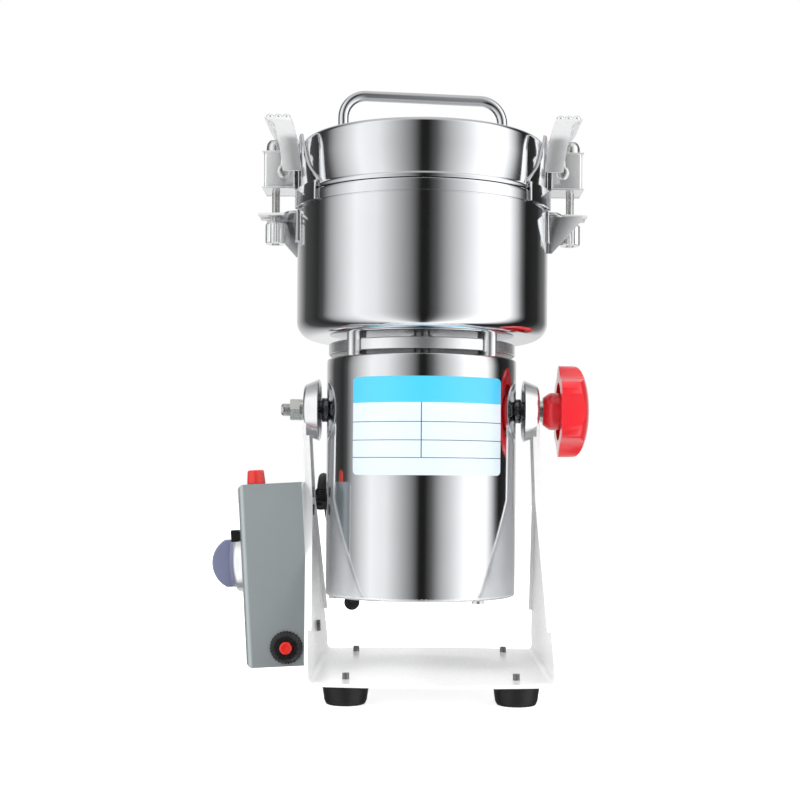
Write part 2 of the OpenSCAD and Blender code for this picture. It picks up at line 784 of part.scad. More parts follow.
module jar_posts() {
    color([0.45, 0.46, 0.48]) at_mill() at_posts() difference() {
        translate([0, 0, motor_top_z]) cylinder(r = post_d / 2, h = jar_low - motor_top_z);
        translate([0, 0, jar_low - jar_screw_l]) cylinder(r = jar_screw_r + seat, h = jar_screw_l + cut);
    }
}

// Heights inside the motor
bell_t = 4;
bell_gap = 1;
bell_low_z = housing_low_z + spigot_h + bell_gap;
low_bearing_z = bell_low_z + bell_t;
stator_z = motor_low + motor_h * 0.33;
bell_top_z = housing_top_z - spigot_h - bell_gap - bell_t;
top_bearing_z = bell_top_z - bearing_w;
commutator_h = 14;
commutator_r = shaft_d * 1.2;
commutator_gap = 2;
commutator_z = low_bearing_z + bearing_w + commutator_gap;
fan_z = stator_z + stator_h + motor_h * 0.105;
fan_h = motor_h * 0.07;
winding_h = motor_h * 0.06;
winding_out = stator_d * 0.4;
winding_gap = 2;
winding_in = armature_d / 2 + winding_gap;
pillar_r = 3.2;
pillar_ring = stator_d / 2 - pillar_r - seat;
fan_d = 2 * (pillar_ring - pillar_r - fan_room);
hub_wall = 3;
bell_rim_w = 6;
bell_arms = 4;
bell_arm_w = 12;

module stator_core() {
    lam_slots = 8;
    color([0.35, 0.36, 0.38]) at_mill() translate([0, 0, stator_z]) difference() {
        ring(stator_d / 2, armature_d / 2 + 2 * gap, stator_h);
        for (i = [0:lam_slots - 1]) rotate([0, 0, (i + 0.5) * 360 / lam_slots])
            translate([stator_d * 0.44, 0, -cut]) cylinder(r = stator_d * 0.035, h = stator_h + 2 * cut);
    }
}

module stator_windings() {
    color([0.72, 0.4, 0.2]) at_mill()
        for (z = [stator_z - winding_h, stator_z + stator_h]) translate([0, 0, z])
            ring(winding_out, winding_in, winding_h);
}

module motor_bearings() {
    color([0.65, 0.66, 0.68]) at_mill() for (z = [low_bearing_z, top_bearing_z])
        translate([0, 0, z]) ring(bearing_d / 2, shaft_r + fit, bearing_w);
}

// One bell: a rim and four arms round a bearing's seat, drawn with its plate at z = 0
module bell(hub_z, pillar_z, pillar_l) {
    difference() {
        union() {
            ring(motor_in, motor_in - bell_rim_w, bell_t);
            for (i = [0:bell_arms - 1]) rotate([0, 0, i * 360 / bell_arms])
                translate([0, -bell_arm_w / 2, 0]) cube([motor_in - bell_rim_w / 2, bell_arm_w, bell_t]);
            translate([0, 0, hub_z]) cylinder(r = bearing_d / 2 + hub_wall, h = bearing_w + bell_t);
            for (i = [0:bell_arms - 1]) rotate([0, 0, i * 360 / bell_arms])
                translate([pillar_ring, 0, pillar_z]) cylinder(r = pillar_r, h = pillar_l);
        }
        translate([0, 0, hub_z - cut]) cylinder(r = shaft_hole_r, h = bearing_w + bell_t + 2 * cut);
    }
}

module end_bells() {
    color([0.6, 0.61, 0.63]) at_mill() difference() {
        union() {
            translate([0, 0, bell_low_z]) bell(0, 0, stator_z - bell_low_z);
            translate([0, 0, bell_top_z])
                bell(-bearing_w, stator_z + stator_h - bell_top_z, bell_top_z - stator_z - stator_h + bell_t);
        }
        translate([0, 0, low_bearing_z]) cylinder(r = bearing_d / 2, h = bearing_w + cut);
        translate([0, 0, top_bearing_z - cut]) cylinder(r = bearing_d / 2, h = bearing_w + cut);
        for (i = [0:2]) rotate([0, 0, cover_screw_turn + i * 120])
            translate([cover_screw_ring, 0, 0]) cylinder(r = cover_screw_r, h = bell_low_z + bell_t + cut);
    }
}

brush_w = 6;
brush_h = 8;
brush_wall = 1.5;
brush_z = commutator_z + commutator_h / 2;
brush_in = commutator_r + seat;
holder_gap = 3;
holder_in = commutator_r + holder_gap;
holder_out = pillar_ring - pillar_r - seat;

module brush_holders() {
    color([0.75, 0.6, 0.3]) at_mill() for (side = [0, 180]) rotate([0, 0, side]) difference() {
        union() {
            translate([-brush_w / 2 - brush_wall, holder_in, brush_z - brush_h / 2 - brush_wall])
                cube([brush_w + 2 * brush_wall, holder_out - holder_in, brush_h + 2 * brush_wall]);
            translate([-brush_w / 2 - brush_wall, holder_out - brush_w, low_bearing_z])
                cube([brush_w + 2 * brush_wall, brush_w, brush_z - low_bearing_z]);
        }
        translate([-brush_w / 2, holder_in - cut, brush_z - brush_h / 2])
            cube([brush_w, holder_out - holder_in - brush_wall + cut, brush_h]);
    }
}

module carbon_brushes() {
    color([0.12, 0.12, 0.13]) at_mill() for (side = [0, 180]) rotate([0, 0, side])
        translate([-brush_w / 2, brush_in + seat, brush_z - brush_h / 2])
            cube([brush_w, holder_out - holder_in - brush_wall, brush_h]);
}

// Pivot hardware on the motor

module pivot_bosses() {
    color([0.3, 0.31, 0.33]) at_mill() translate([0, 0, pivot_z]) for (side = [-1, 1]) difference() {
        union() {
            rod_x(boss_d / 2, side * (motor_in), side * (arm_rim_x + head_depth - sheet_t - gap));
            rod_x(boss_d * 0.62, side * (motor_in), side * (arm_rim_x - rim_gap * 0.35));
        }
        translate([0, 0, -pivot_z]) cylinder(r = motor_r, h = motor_top_z);
        rod_x(stud_r, -side * cut, side * (arm_x + cut));
    }
}

module pivot_studs() {
    color([0.7, 0.71, 0.72]) at_mill() translate([0, 0, pivot_z]) {
        for (side = [-1, 1]) {
            rod_x(stud_r, side * stud_in_x, side * (side > 0 ? right_stud_x : left_stud_x));
            rod_x(stud_head_r, side * stud_in_x, side * (stud_in_x + stud_head_t));
        }
        difference() {
            translate([-washer_x - pivot_nut_l, 0, 0]) rotate([0, 90, 0])
                cylinder(d = pivot_nut_d, h = pivot_nut_l, $fn = 6);
            rod_x(stud_r, -washer_x - pivot_nut_l - cut, -washer_x + cut);
        }
    }
}

motor_gland_l = 12;
motor_gland_y = lead_end[1] - motor_gland_l * 0.72;

module motor_gland() {
    color([0.05, 0.05, 0.05]) at_mill() union() {
        translate(lead_end) rotate([90, 0, 0]) cylinder(r1 = lead_d * 0.62, r2 = gland_r, h = motor_gland_l);
        translate([lead_end[0], motor_gland_y, lead_end[2]])
            cylinder(r = gland_hole_r, h = motor_low + cover_t + gland_flange_t - lead_end[2]);
    }
}

label_w_angle = 96;
label_h = 57;
label_t = 0.4;
label_z = motor_low + motor_h * 0.51;
label_turn = 5;

module rating_label() {
    color([0.72, 0.82, 0.9]) at_mill() rotate([0, 0, -90 + label_turn - label_w_angle / 2])
        translate([0, 0, label_z]) rotate_extrude(angle = label_w_angle)
        translate([motor_r + seat, 0]) square([label_t, label_h]);
}

// Jar

module can(radius, corner, height) {
    rotate_extrude() union() {
        square([radius - corner, height]);
        translate([0, corner]) square([radius, height - corner]);
        intersection() {
            translate([radius - corner, corner]) circle(r = corner);
            square([radius, height]);
        }
    }
}

seal_r = shaft_d * 1.1;
seal_h = 7;
seal_lip = 3;
rim_h = 7.5;
rim_t = 0.4;

module grinding_jar() {
    color([0.82, 0.83, 0.85]) at_mill() difference() {
        union() {
            translate([0, 0, jar_low]) can(jar_outer, jar_r, jar_h);
            translate([0, 0, jar_top - rim_h]) cylinder(r = jar_outer + rim_t, h = rim_h);
        }
        translate([0, 0, jar_low + jar_wall]) can(jar_in, jar_r - jar_wall, jar_h);
        translate([0, 0, jar_low - cut]) cylinder(r = seal_r, h = 3 * cut);
        at_posts() translate([0, 0, jar_low - cut]) cylinder(r = jar_screw_r + seat, h = 3 * cut);
    }
}

module shaft_seal() {
    color([0.15, 0.15, 0.16]) at_mill() difference() {
        union() {
            translate([0, 0, jar_low]) cylinder(r = seal_r, h = seal_h);
            translate([0, 0, jar_low + jar_wall]) cylinder(r = seal_r + seal_lip, h = seal_h * 0.35);
        }
        translate([0, 0, jar_low - cut]) cylinder(r = shaft_r + fit, h = seal_h + 2 * cut);
    }
}

module jar_screws() {
    color([0.7, 0.7, 0.72]) at_mill() at_posts() {
        translate([0, 0, jar_low - jar_screw_l + seat]) cylinder(r = jar_screw_r, h = jar_screw_l + jar_wall);
        translate([0, 0, jar_low + jar_wall]) cylinder(r = 2 * jar_screw_r, h = jar_screw_r);
    }
}

// Rotor

fan_blades = 12;
blade_clear = 2;
lower_blade_z = jar_low + seal_h + blade_clear;
spacer_h = 8;
spacer_r = shaft_r + 0.8 * shaft_r;
shim_h = 1;
blade_turn = 25;
upper_blade_z = lower_blade_z + blade_t + spacer_h;
blade_nut_z = upper_blade_z + blade_t;
blade_nut_h = 7;
shaft_tail = 1;
shaft_low_z = low_bearing_z - shaft_tail;
shaft_top_z = blade_nut_z + blade_nut_h * 0.8;

module motor_shaft() {
    color([0.7, 0.71, 0.73]) at_mill() translate([0, 0, shaft_low_z])
        cylinder(r = shaft_r, h = shaft_top_z - shaft_low_z);
}

module armature() {
    slots = 12;
    core_inset = 2;
    core_h = stator_h - 2 * core_inset;
    color([0.4, 0.41, 0.43]) at_mill() difference() {
        translate([0, 0, stator_z + core_inset]) union() {
            difference() {
                cylinder(r = armature_d / 2, h = core_h);
                for (i = [0:slots - 1]) rotate([0, 0, i * 360 / slots])
                    translate([armature_d / 2, 0, -cut]) cylinder(r = armature_d * 0.055, h = stator_h);
            }
            translate([0, 0, -winding_h * 0.7]) cylinder(r = armature_d * 0.36, h = core_h + winding_h * 1.4);
        }
        translate([0, 0, stator_z - winding_h]) cylinder(r = shaft_r, h = stator_h + 2 * winding_h);
    }
}

module commutator() {
    bars = 24;
    color([0.75, 0.45, 0.25]) at_mill() translate([0, 0, commutator_z]) difference() {
        cylinder(r = commutator_r, h = commutator_h);
        for (i = [0:bars - 1]) rotate([0, 0, i * 360 / bars])
            translate([commutator_r - seat * 4, -seat, -cut])
                cube([commutator_r, 2 * seat, commutator_h + 2 * cut]);
        translate([0, 0, -cut]) cylinder(r = shaft_r, h = commutator_h + 2 * cut);
    }
}

module cooling_fan() {
    plate_t = 2;
    blade_in = fan_d * 0.2;
    color([0.2, 0.2, 0.22]) at_mill() translate([0, 0, fan_z]) difference() {
        union() {
            cylinder(r = fan_d / 2, h = plate_t);
            cylinder(r = spacer_r, h = fan_h);
            for (i = [0:fan_blades - 1]) rotate([0, 0, i * 360 / fan_blades])
                translate([blade_in, -plate_t / 2, 0]) cube([fan_d * 0.49 - blade_in, plate_t, fan_h]);
        }
        translate([0, 0, -cut]) cylinder(r = shaft_r, h = fan_h + 2 * cut);
    }
}

// A flat two-ended blade with slanting cutting edges
module blade(turn) {
    half = blade_l / 2;
    width = blade_w / 2;
    rotate([0, 0, turn]) difference() {
        linear_extrude(height = blade_t) polygon([
            [-half, -width], [-half + blade_w * 0.4, width * 0.7], [-width, width],
            [width, width], [half - blade_w * 0.1, width * 0.9], [half, width],
            [half - blade_w * 0.4, -width * 0.7], [width, -width], [-width, -width],
            [-half + blade_w * 0.1, -width * 0.9]]);
        translate([0, 0, -cut]) cylinder(r = shaft_r, h = blade_t + 2 * cut);
    }
}

module lower_blade() {
    color([0.78, 0.79, 0.8]) at_mill() translate([0, 0, lower_blade_z]) blade(blade_turn);
}

module upper_blade() {
    color([0.78, 0.79, 0.8]) at_mill() translate([0, 0, upper_blade_z]) blade(blade_turn + 90);
}

module blade_spacer() {
    color([0.7, 0.71, 0.72]) at_mill() {
        translate([0, 0, lower_blade_z + blade_t]) ring(spacer_r, shaft_r, spacer_h);
        translate([0, 0, lower_blade_z - shim_h]) ring(spacer_r, shaft_r, shim_h);
    }
}

module blade_nut() {
    color([0.75, 0.76, 0.78]) at_mill() difference() {
        union() {
            translate([0, 0, blade_nut_z]) cylinder(r = shaft_r * 1.7, h = blade_nut_h * 0.8, $fn = 6);
            translate([0, 0, blade_nut_z + blade_nut_h * 0.8])
                cylinder(r1 = shaft_r * 1.4, r2 = shaft_r * 0.7, h = blade_nut_h * 0.5);
        }
        translate([0, 0, blade_nut_z - cut]) cylinder(r = shaft_r, h = shaft_top_z - blade_nut_z + cut);
    }
}

// Lid

lid_wall = 1;
roll_h = 2.8;
roll_out = jar_outer + rim_t;
plug_gap = 2;
plug_r = jar_in - plug_gap;
plug_h = 8;
gasket_r = jar_in - gap;
gasket_h = 5;

module lid_shell() {
    color([0.84, 0.85, 0.87]) at_mill() difference() {
        union() {
            translate([0, 0, lid_top]) mirror([0, 0, 1]) can(lid_outer, lid_r, lid_h - gap);
            translate([0, 0, jar_top + gap]) cylinder(r = roll_out, h = roll_h);
            translate([0, 0, jar_top - plug_h]) cylinder(r = plug_r, h = plug_h + roll_h);
        }
        translate([0, 0, lid_top - lid_wall]) mirror([0, 0, 1])
            can(lid_outer - lid_wall, lid_r - lid_wall, lid_h - roll_h - lid_wall);
        translate([0, 0, jar_top - plug_h - cut])
            cylinder(r = plug_r - lid_wall, h = plug_h + roll_h + 2 * cut);
        translate([0, 0, jar_top - gasket_h]) ring(jar_outer, plug_r - lid_wall / 2, gasket_h - lid_wall);
    }
}

module lid_gasket() {
    color([0.9, 0.9, 0.88]) at_mill() translate([0, 0, jar_top - gasket_h])
        ring(gasket_r, plug_r - lid_wall / 2, gasket_h - lid_wall);
}

module lid_handle() {
    rod = handle_rod_d / 2;
    bend = handle_r - rod;
    leg_x = handle_w / 2 - rod;
    bar_z = handle_top - rod;
    weld_t = 1.2;
    color([0.8, 0.81, 0.83]) at_mill() rotate([0, 0, handle_turn]) union() {
        for (side = [-1, 1]) {
            translate([side * leg_x, 0, lid_top]) cylinder(r = rod, h = bar_z - bend - lid_top);
            translate([side * leg_x, 0, lid_top]) cylinder(r = 1.5 * rod, h = weld_t);
            translate([side * (leg_x - bend), 0, bar_z - bend]) rotate([90, 0, 0])
                rotate([0, 0, side > 0 ? 0 : 90])
                rotate_extrude(angle = 90) translate([bend, 0]) circle(r = rod);
        }
        translate([0, 0, bar_z]) rod_x(rod, -leg_x + bend, leg_x - bend);
    }
}

// Lid ears: wing plates that hug the lid, a skirt over the jar's rim and a rolled lip
ear_t = 1.6;
ear_in = lid_outer;
ear_out = ear_in + ear_t;
ear_low_z = jar_top + gap + roll_h;
ear_top_z = lid_top + lid_h * 0.09;
ear_half_low = lid_d * 0.3;
ear_half_mid = lid_d * 0.22;
ear_half_top = lid_d * 0.115;
skirt_in = roll_out + gap;
skirt_out = skirt_in + ear_t;
skirt_low_z = jar_top - rim_h * 0.92;
skirt_half_angle = 37;
notch_gap = 4;
notch_half = case_w / 2 + notch_gap;

module lid_ears() {
    ear_h = ear_top_z - ear_low_z;
    color([0.8, 0.81, 0.83]) at_mill() for (side = [0, 180]) rotate([0, 0, side]) union() {
        intersection() {
            translate([0, 0, ear_low_z]) ring(ear_out, ear_in, ear_h + cut);
            rotate([90, 0, 90]) linear_extrude(height = lid_d) polygon([
                [-ear_half_low, ear_low_z - cut], [-ear_half_low * 0.97, ear_low_z + ear_h * 0.12],
                [-ear_half_mid * 1.04, ear_low_z + ear_h * 0.34],
                [-ear_half_mid * 0.86, ear_low_z + ear_h * 0.6], [-ear_half_top, ear_top_z],
                [ear_half_top, ear_top_z], [ear_half_mid * 0.86, ear_low_z + ear_h * 0.6],
                [ear_half_mid * 1.04, ear_low_z + ear_h * 0.34],
                [ear_half_low * 0.97, ear_low_z + ear_h * 0.12], [ear_half_low, ear_low_z - cut]]);
        }
        for (flip = [0, 1]) mirror([0, flip, 0]) {
            start = asin(notch_half / skirt_out);
            rotate([0, 0, start]) rotate_extrude(angle = skirt_half_angle - start) {
                translate([skirt_in, skirt_low_z]) square([ear_t, ear_low_z + ear_t - skirt_low_z]);
                translate([ear_in + ear_t / 2, ear_low_z + seat])
                    square([skirt_out - ear_in - ear_t / 2, ear_t - 2 * seat]);
            }
        }
    }
}

// Brackets on the jar that carry the clasps

bracket_down = 7.7;
bracket_z = jar_top - bracket_down;
bracket_t = 1.6;
bracket_half = 11;
bracket_reach = 10;
bracket_tip = rod_r + bracket_reach;
bracket_drop = 24;
bracket_foot_z = bracket_z - bracket_drop;
weld_half = 19;
slot_room = 0.5;
slot_r = rod_d / 2 + slot_room;

module latch_brackets() {
    plate_in = jar_outer - jar_wall / 2;
    strip_z = bracket_foot_z + bracket_half / 2;
    color([0.78, 0.79, 0.8]) for (side = [-1, 1]) at_clasp(side) difference() {
        union() {
            translate([0, 0, bracket_z - bracket_t]) linear_extrude(height = bracket_t) polygon([
                [plate_in * 0.95, -weld_half], [plate_in + bracket_t * 3, -weld_half * 0.9],
                [plate_in + bracket_t * 5, -bracket_half], [bracket_tip, -bracket_half * 0.8],
                [bracket_tip, bracket_half * 0.8], [plate_in + bracket_t * 5, bracket_half],
                [plate_in + bracket_t * 3, weld_half * 0.9], [plate_in * 0.95, weld_half]]);
            translate([0, bracket_t - bracket_half, 0])
                rotate([90, 0, 0]) linear_extrude(height = bracket_t) polygon([
                    [plate_in * 0.95, bracket_foot_z], [plate_in + bracket_t * 1.5, bracket_foot_z],
                    [bracket_tip - bracket_t * 2, bracket_z - bracket_t * 2],
                    [bracket_tip - bracket_t * 2, bracket_z - bracket_t / 2],
                    [plate_in * 0.95, bracket_z - bracket_t / 2]]);
            intersection() {
                translate([0, 0, strip_z]) ring(jar_outer + bracket_t, jar_outer - seat, bracket_z - strip_z);
                for (y = [-weld_half, bracket_half - bracket_t]) translate([0, y, 0])
                    cube([2 * rod_r, weld_half - bracket_half + bracket_t, jar_top]);
            }
        }
        translate([0, 0, bracket_foot_z - cut]) cylinder(r = jar_outer, h = 2 * bracket_half + jar_h);
        translate([rod_r, 0, bracket_z - bracket_t - cut]) cylinder(r = slot_r, h = bracket_t + 2 * cut);
        translate([rod_r, -slot_r, bracket_z - bracket_t - cut])
                cube([bracket_tip, 2 * slot_r, bracket_t + 2 * cut]);
    }
}

// Clasps: a case on a swinging rod, with an arched lever on the case's pin

swing_z = bracket_z - bracket_t / 2;
case_rise = 6.6;
case_low_z = jar_top + case_rise;
case_top_z = case_low_z + case_h;
case_reach = 6.3;
case_out = rod_r + case_reach;
case_in = ear_out + case_clear;
case_depth = case_out - case_in;
case_t = 1.5;
case_lip = 1;
pin_inset = 3.2;
pin_x = rod_r - rod_d / 2 - pin_inset;
pin_z = case_low_z + case_h * 0.44;
pin_r = 1.7;
lever_y = case_w / 2 + case_lip + 2 * seat;
cheek_t = 1.5;
pin_head_r = 3.35;
pin_head_t = 1.4;
cap_r = 6;
rod_tail = 17.6;

module clasp_case(side) {
    color([0.86, 0.87, 0.88]) at_clasp(side) difference() {
        union() {
            translate([case_in, 0, case_low_z]) rounded_plate(case_depth, case_w, case_t * 2, case_h);
            for (z = [case_low_z, case_top_z - case_lip]) translate([case_in, 0, z])
                rounded_plate(case_depth + case_lip, case_w + 2 * case_lip, case_t * 2, case_lip);
        }
        translate([case_in - cut, 0, case_low_z + case_t])
            rounded_plate(case_depth - case_t + cut, case_w - 2 * case_t, case_t, case_h - 2 * case_t);
        translate([rod_r, 0, case_low_z - cut]) cylinder(r = rod_d / 2, h = case_h + 2 * cut);
        translate([pin_x, 0, pin_z]) rod_y(pin_r, 2 * case_w);
    }
}

module clasp_rod(side) {
    end_z = swing_z - rod_tail;
    color([0.6, 0.6, 0.58]) at_clasp(side) {
        translate([rod_r, 0, 0]) union() {
            translate([0, 0, end_z]) cylinder(r = rod_d / 2, h = case_top_z - end_z + cap_r / 2);
            translate([0, 0, case_top_z]) cylinder(r = cap_r, h = cap_r * 0.7);
            translate([0, 0, case_top_z + cap_r * 0.7]) intersection() {
                scale(cap_r) sphere(r = 1);
                cylinder(r = cap_r, h = cap_r * 0.72);
            }
        }
        translate([pin_x, 0, pin_z]) {
            rod_y(pin_r, 2 * (lever_y + cheek_t) + pin_head_t);
            for (y = [-1, 1]) translate([0, y * (lever_y + cheek_t + seat + pin_head_t / 2), 0])
                rod_y(pin_head_r, pin_head_t);
        }
    }
}

arch_top_z = pin_z + arch_h * 0.87;
arch_low_z = arch_top_z - arch_h;
arch_shoulder = arch_h * 0.32;
arch_steps = 28;

function arch_curve(half, top) = concat(
    [[half, arch_low_z]],
    [for (i = [0:arch_steps]) let (a = 180 * i / arch_steps)
        [half * pow(abs(cos(a)), 0.8) * (a > 90 ? -1 : 1),
         arch_low_z + arch_shoulder + (top - arch_low_z - arch_shoulder) * pow(sin(a), 0.9)]],
    [[-half, arch_low_z]]);

// Inner edge of a lever seen from the front, from its pin, in shares of the lever's height
edge_shares = [[-0.343, -0.15], [-0.332, -0.024], [-0.306, 0.147], [-0.249, 0.425], [-0.213, 0.56],
    [-0.171, 0.67]];
// Where the edge meets the crown, in the same shares
crown_share = -0.112;
crown_low_share = 0.79;
function lever_edge(offset) = [for (p = edge_shares) [pin_x + p[0] * arch_h + offset, pin_z + p[1] * arch_h]];
crown_x = pin_x + crown_share * arch_h;
crown_z = pin_z + crown_low_share * arch_h;

ridge_r = 2.6;
ridge_l = 11;
eye_wall = 2.2;
// Corners of a lever's cheek, from its pin, in shares of the lever's height
cheek_shares = [[-0.08, -0.05], [0.04, 0.09], [0.02, 0.4], [0.26, 0.84], [-0.09, 0.84], [-0.16, 0.4]];

module clasp_lever(side) {
    color([0.88, 0.89, 0.9]) at_clasp(side) difference() {
        union() {
            intersection() {
                rotate([90, 0, 90]) linear_extrude(height = 2 * rod_r)
                    polygon(concat(arch_curve(arch_half, arch_top_z),
                        reversed(arch_curve(arch_half - strap_t, arch_top_z - strap_t))));
                rotate([90, 0, 0]) linear_extrude(height = 3 * arch_half, center = true) polygon(concat(
                    lever_edge(0), [[crown_x, crown_z], [crown_x, arch_top_z + cut],
                        [crown_x + crown_w, arch_top_z + cut], [crown_x + crown_w, crown_z]],
                    reversed(lever_edge(strap_w))));
            }
            for (i = [-1:1]) translate([crown_x + crown_w / 2 + i * ridge_r * 1.9, 0, arch_top_z])
                rod_y(ridge_r, 2 * ridge_l);
            for (y = [-1, 1]) translate([0, y * (lever_y + cheek_t / 2), 0]) rotate([90, 0, 0]) {
                translate([0, 0, -cheek_t / 2]) linear_extrude(height = cheek_t) union() {
                    translate([pin_x, pin_z]) circle(r = pin_r + eye_wall);
                    polygon([for (p = cheek_shares) [pin_x + p[0] * arch_h, pin_z + p[1] * arch_h]]);
                }
            }
        }
        translate([pin_x, 0, pin_z]) rod_y(pin_r + fit, 2 * arch_half);
    }
}

nut_top_z = swing_z - bracket_t / 2;
nut_neck_r = 3;
nut_neck_h = 1.6;
nut_cone_h = 3.6;
nut_h = 16;

module clasp_nut(side) {
    flutes = 16;
    body_z = nut_top_z - nut_h;
    shoulder_z = nut_top_z - nut_cone_h;
    color([0.8, 0.81, 0.8]) at_clasp(side) translate([rod_r, 0, 0]) difference() {
        union() {
            translate([0, 0, body_z]) cylinder(r = nut_d / 2, h = shoulder_z - body_z);
            translate([0, 0, shoulder_z])
                cylinder(r1 = nut_d / 2 - 2 * gap, r2 = nut_neck_r + seat, h = nut_cone_h - nut_neck_h);
        }
        for (i = [0:flutes - 1]) rotate([0, 0, i * 360 / flutes])
            translate([nut_d / 2 + seat, 0, body_z - cut]) cylinder(r = 2 * gap, h = nut_h * 0.72);
        translate([0, 0, body_z - cut]) cylinder(r = rod_d / 2 + fit, h = nut_top_z - body_z + 2 * cut);
    }
}

module clasp_case_right() { clasp_case(1); }
module clasp_rod_right() { clasp_rod(1); }
module clasp_lever_right() { clasp_lever(1); }
module clasp_nut_right() { clasp_nut(1); }
module clasp_case_left() { clasp_case(-1); }
module clasp_rod_left() { clasp_rod(-1); }
module clasp_lever_left() { clasp_lever(-1); }
module clasp_nut_left() { clasp_nut(-1); }

stand_bracket();
rubber_feet();
foot_screws();
control_box();
box_cover();
box_screws();
timer_body();
timer_collar();
switch_frame();
indicator_lamp();
breaker_body();
breaker_ring_nut();
lead_gland();
mains_gland();
pivot_washers();
motor_lead();
clamp_knob();
timer_knob();
switch_rocker();
reset_button();
motor_housing();
motor_top();
bottom_cover();
cover_screws();
support_disc();
jar_posts();
stator_core();
stator_windings();
motor_bearings();
end_bells();
brush_holders();
carbon_brushes();
pivot_bosses();
pivot_studs();
motor_gland();
rating_label();
grinding_jar();
shaft_seal();
jar_screws();
latch_brackets();
motor_shaft();
armature();
commutator();
cooling_fan();
lower_blade();
upper_blade();
blade_spacer();
blade_nut();
lid_shell();
lid_gasket();
lid_handle();
lid_ears();
clasp_case_right();
clasp_rod_right();
clasp_lever_right();
clasp_nut_right();
clasp_case_left();
clasp_rod_left();
clasp_lever_left();
clasp_nut_left();
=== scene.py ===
import math

import bpy
from bpy.props import FloatProperty, FloatVectorProperty, IntProperty, PointerProperty
from bpy.types import Operator, Panel, PropertyGroup
from mathutils import Matrix, Vector


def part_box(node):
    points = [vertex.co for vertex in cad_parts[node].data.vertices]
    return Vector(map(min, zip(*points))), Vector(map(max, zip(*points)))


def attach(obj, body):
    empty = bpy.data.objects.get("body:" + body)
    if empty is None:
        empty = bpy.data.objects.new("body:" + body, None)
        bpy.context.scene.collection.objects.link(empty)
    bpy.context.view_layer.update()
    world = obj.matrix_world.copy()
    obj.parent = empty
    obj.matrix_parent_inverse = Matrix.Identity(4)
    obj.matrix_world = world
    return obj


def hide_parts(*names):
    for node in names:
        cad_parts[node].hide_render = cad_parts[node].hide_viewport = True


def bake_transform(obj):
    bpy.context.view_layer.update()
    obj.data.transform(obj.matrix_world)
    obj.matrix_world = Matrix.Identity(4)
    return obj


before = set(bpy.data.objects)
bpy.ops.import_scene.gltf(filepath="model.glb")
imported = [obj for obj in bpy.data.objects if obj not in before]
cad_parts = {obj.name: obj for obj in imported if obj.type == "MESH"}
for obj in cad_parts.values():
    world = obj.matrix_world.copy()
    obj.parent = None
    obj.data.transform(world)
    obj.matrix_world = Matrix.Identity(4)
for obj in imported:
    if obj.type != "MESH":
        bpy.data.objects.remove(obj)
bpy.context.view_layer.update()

bl_info = {
    "name": "Tilting Grain Mill",
    "version": (1, 0, 0),
    "blender": (4, 5, 0),
    "location": "View3D > Sidebar > Grain Mill",
    "description": "Builds the visible pieces of a tilting electric grain mill and its studio",
    "category": "Add Mesh",
}

MM = 0.001
# Faces round a turned form, from the mirror surfaces down to pins
FINE, ROUND, SMALL, TINY = 160, 96, 48, 24
# How a plate that is traced in X and Y is set up: facing the front, or facing the side
UPRIGHT = (math.radians(90), 0, 0)
SIDEWAYS = (math.radians(90), 0, math.radians(90))
# Doubles closer than this are merged
SAME_PLACE = 1e-6


def size(text, default, low=0.0, high=1.0):
    """A length that a user may change, in metres."""
    return FloatProperty(name=text, description=text, default=default, min=low, max=high, unit="LENGTH")


def colour(text, default):
    return FloatVectorProperty(
        name=text, description=text, default=default, size=3, min=0.0, max=1.0, subtype="COLOR")


def middle(node):
    low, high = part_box(node)
    return (low + high) / 2


JAR_LOW, JAR_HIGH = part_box("grinding_jar")
MILL_X = (JAR_LOW.x + JAR_HIGH.x) / 2
PIVOT_Z = middle("pivot_washers").z
MOTOR_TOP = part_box("motor_top")[1].z
MOTOR_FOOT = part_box("bottom_cover")[0].z
DISC_LOW, DISC_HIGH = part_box("support_disc")
LID_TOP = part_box("lid_shell")[1].z
JAR_TOP = JAR_HIGH.z
MILL = Matrix.Translation((MILL_X, 0, 0))


class MillStand(PropertyGroup):
    """Sheet steel stand and its feet."""
    base_width: size("Width of the base over its bends", 0.141)
    base_depth: size("Depth of the base at its sides", 0.160)
    base_bow: size("How far the front and back edges bow out", 0.007)
    base_shift: size("How far the base stands off to the right", 0.0065)
    sheet: size("Thickness of the sheet", 0.002)
    bend: size("Outer radius of the bends", 0.005)
    arm_reach: size("Distance of an arm's face from the mill's axis", 0.0718)
    neck: size("Width of an arm below its head", 0.026)
    head_face: size("Diameter of a head's flat face", 0.032)
    head_rim: size("Diameter of a head's open rim", 0.038)
    head_depth: size("How deep a head is drawn", 0.0092)
    flange: size("Width of the arms' edge flange", 0.004)
    foot_height: size("Height of a rubber foot", 0.012)
    foot_top: size("Diameter of a foot under the plate", 0.027)
    foot_low: size("Diameter of a foot on the table", 0.0215)
    foot_pitch_x: size("Distance between the feet from side to side", 0.097)
    foot_pitch_y: size("Distance between the feet from front to back", 0.128)


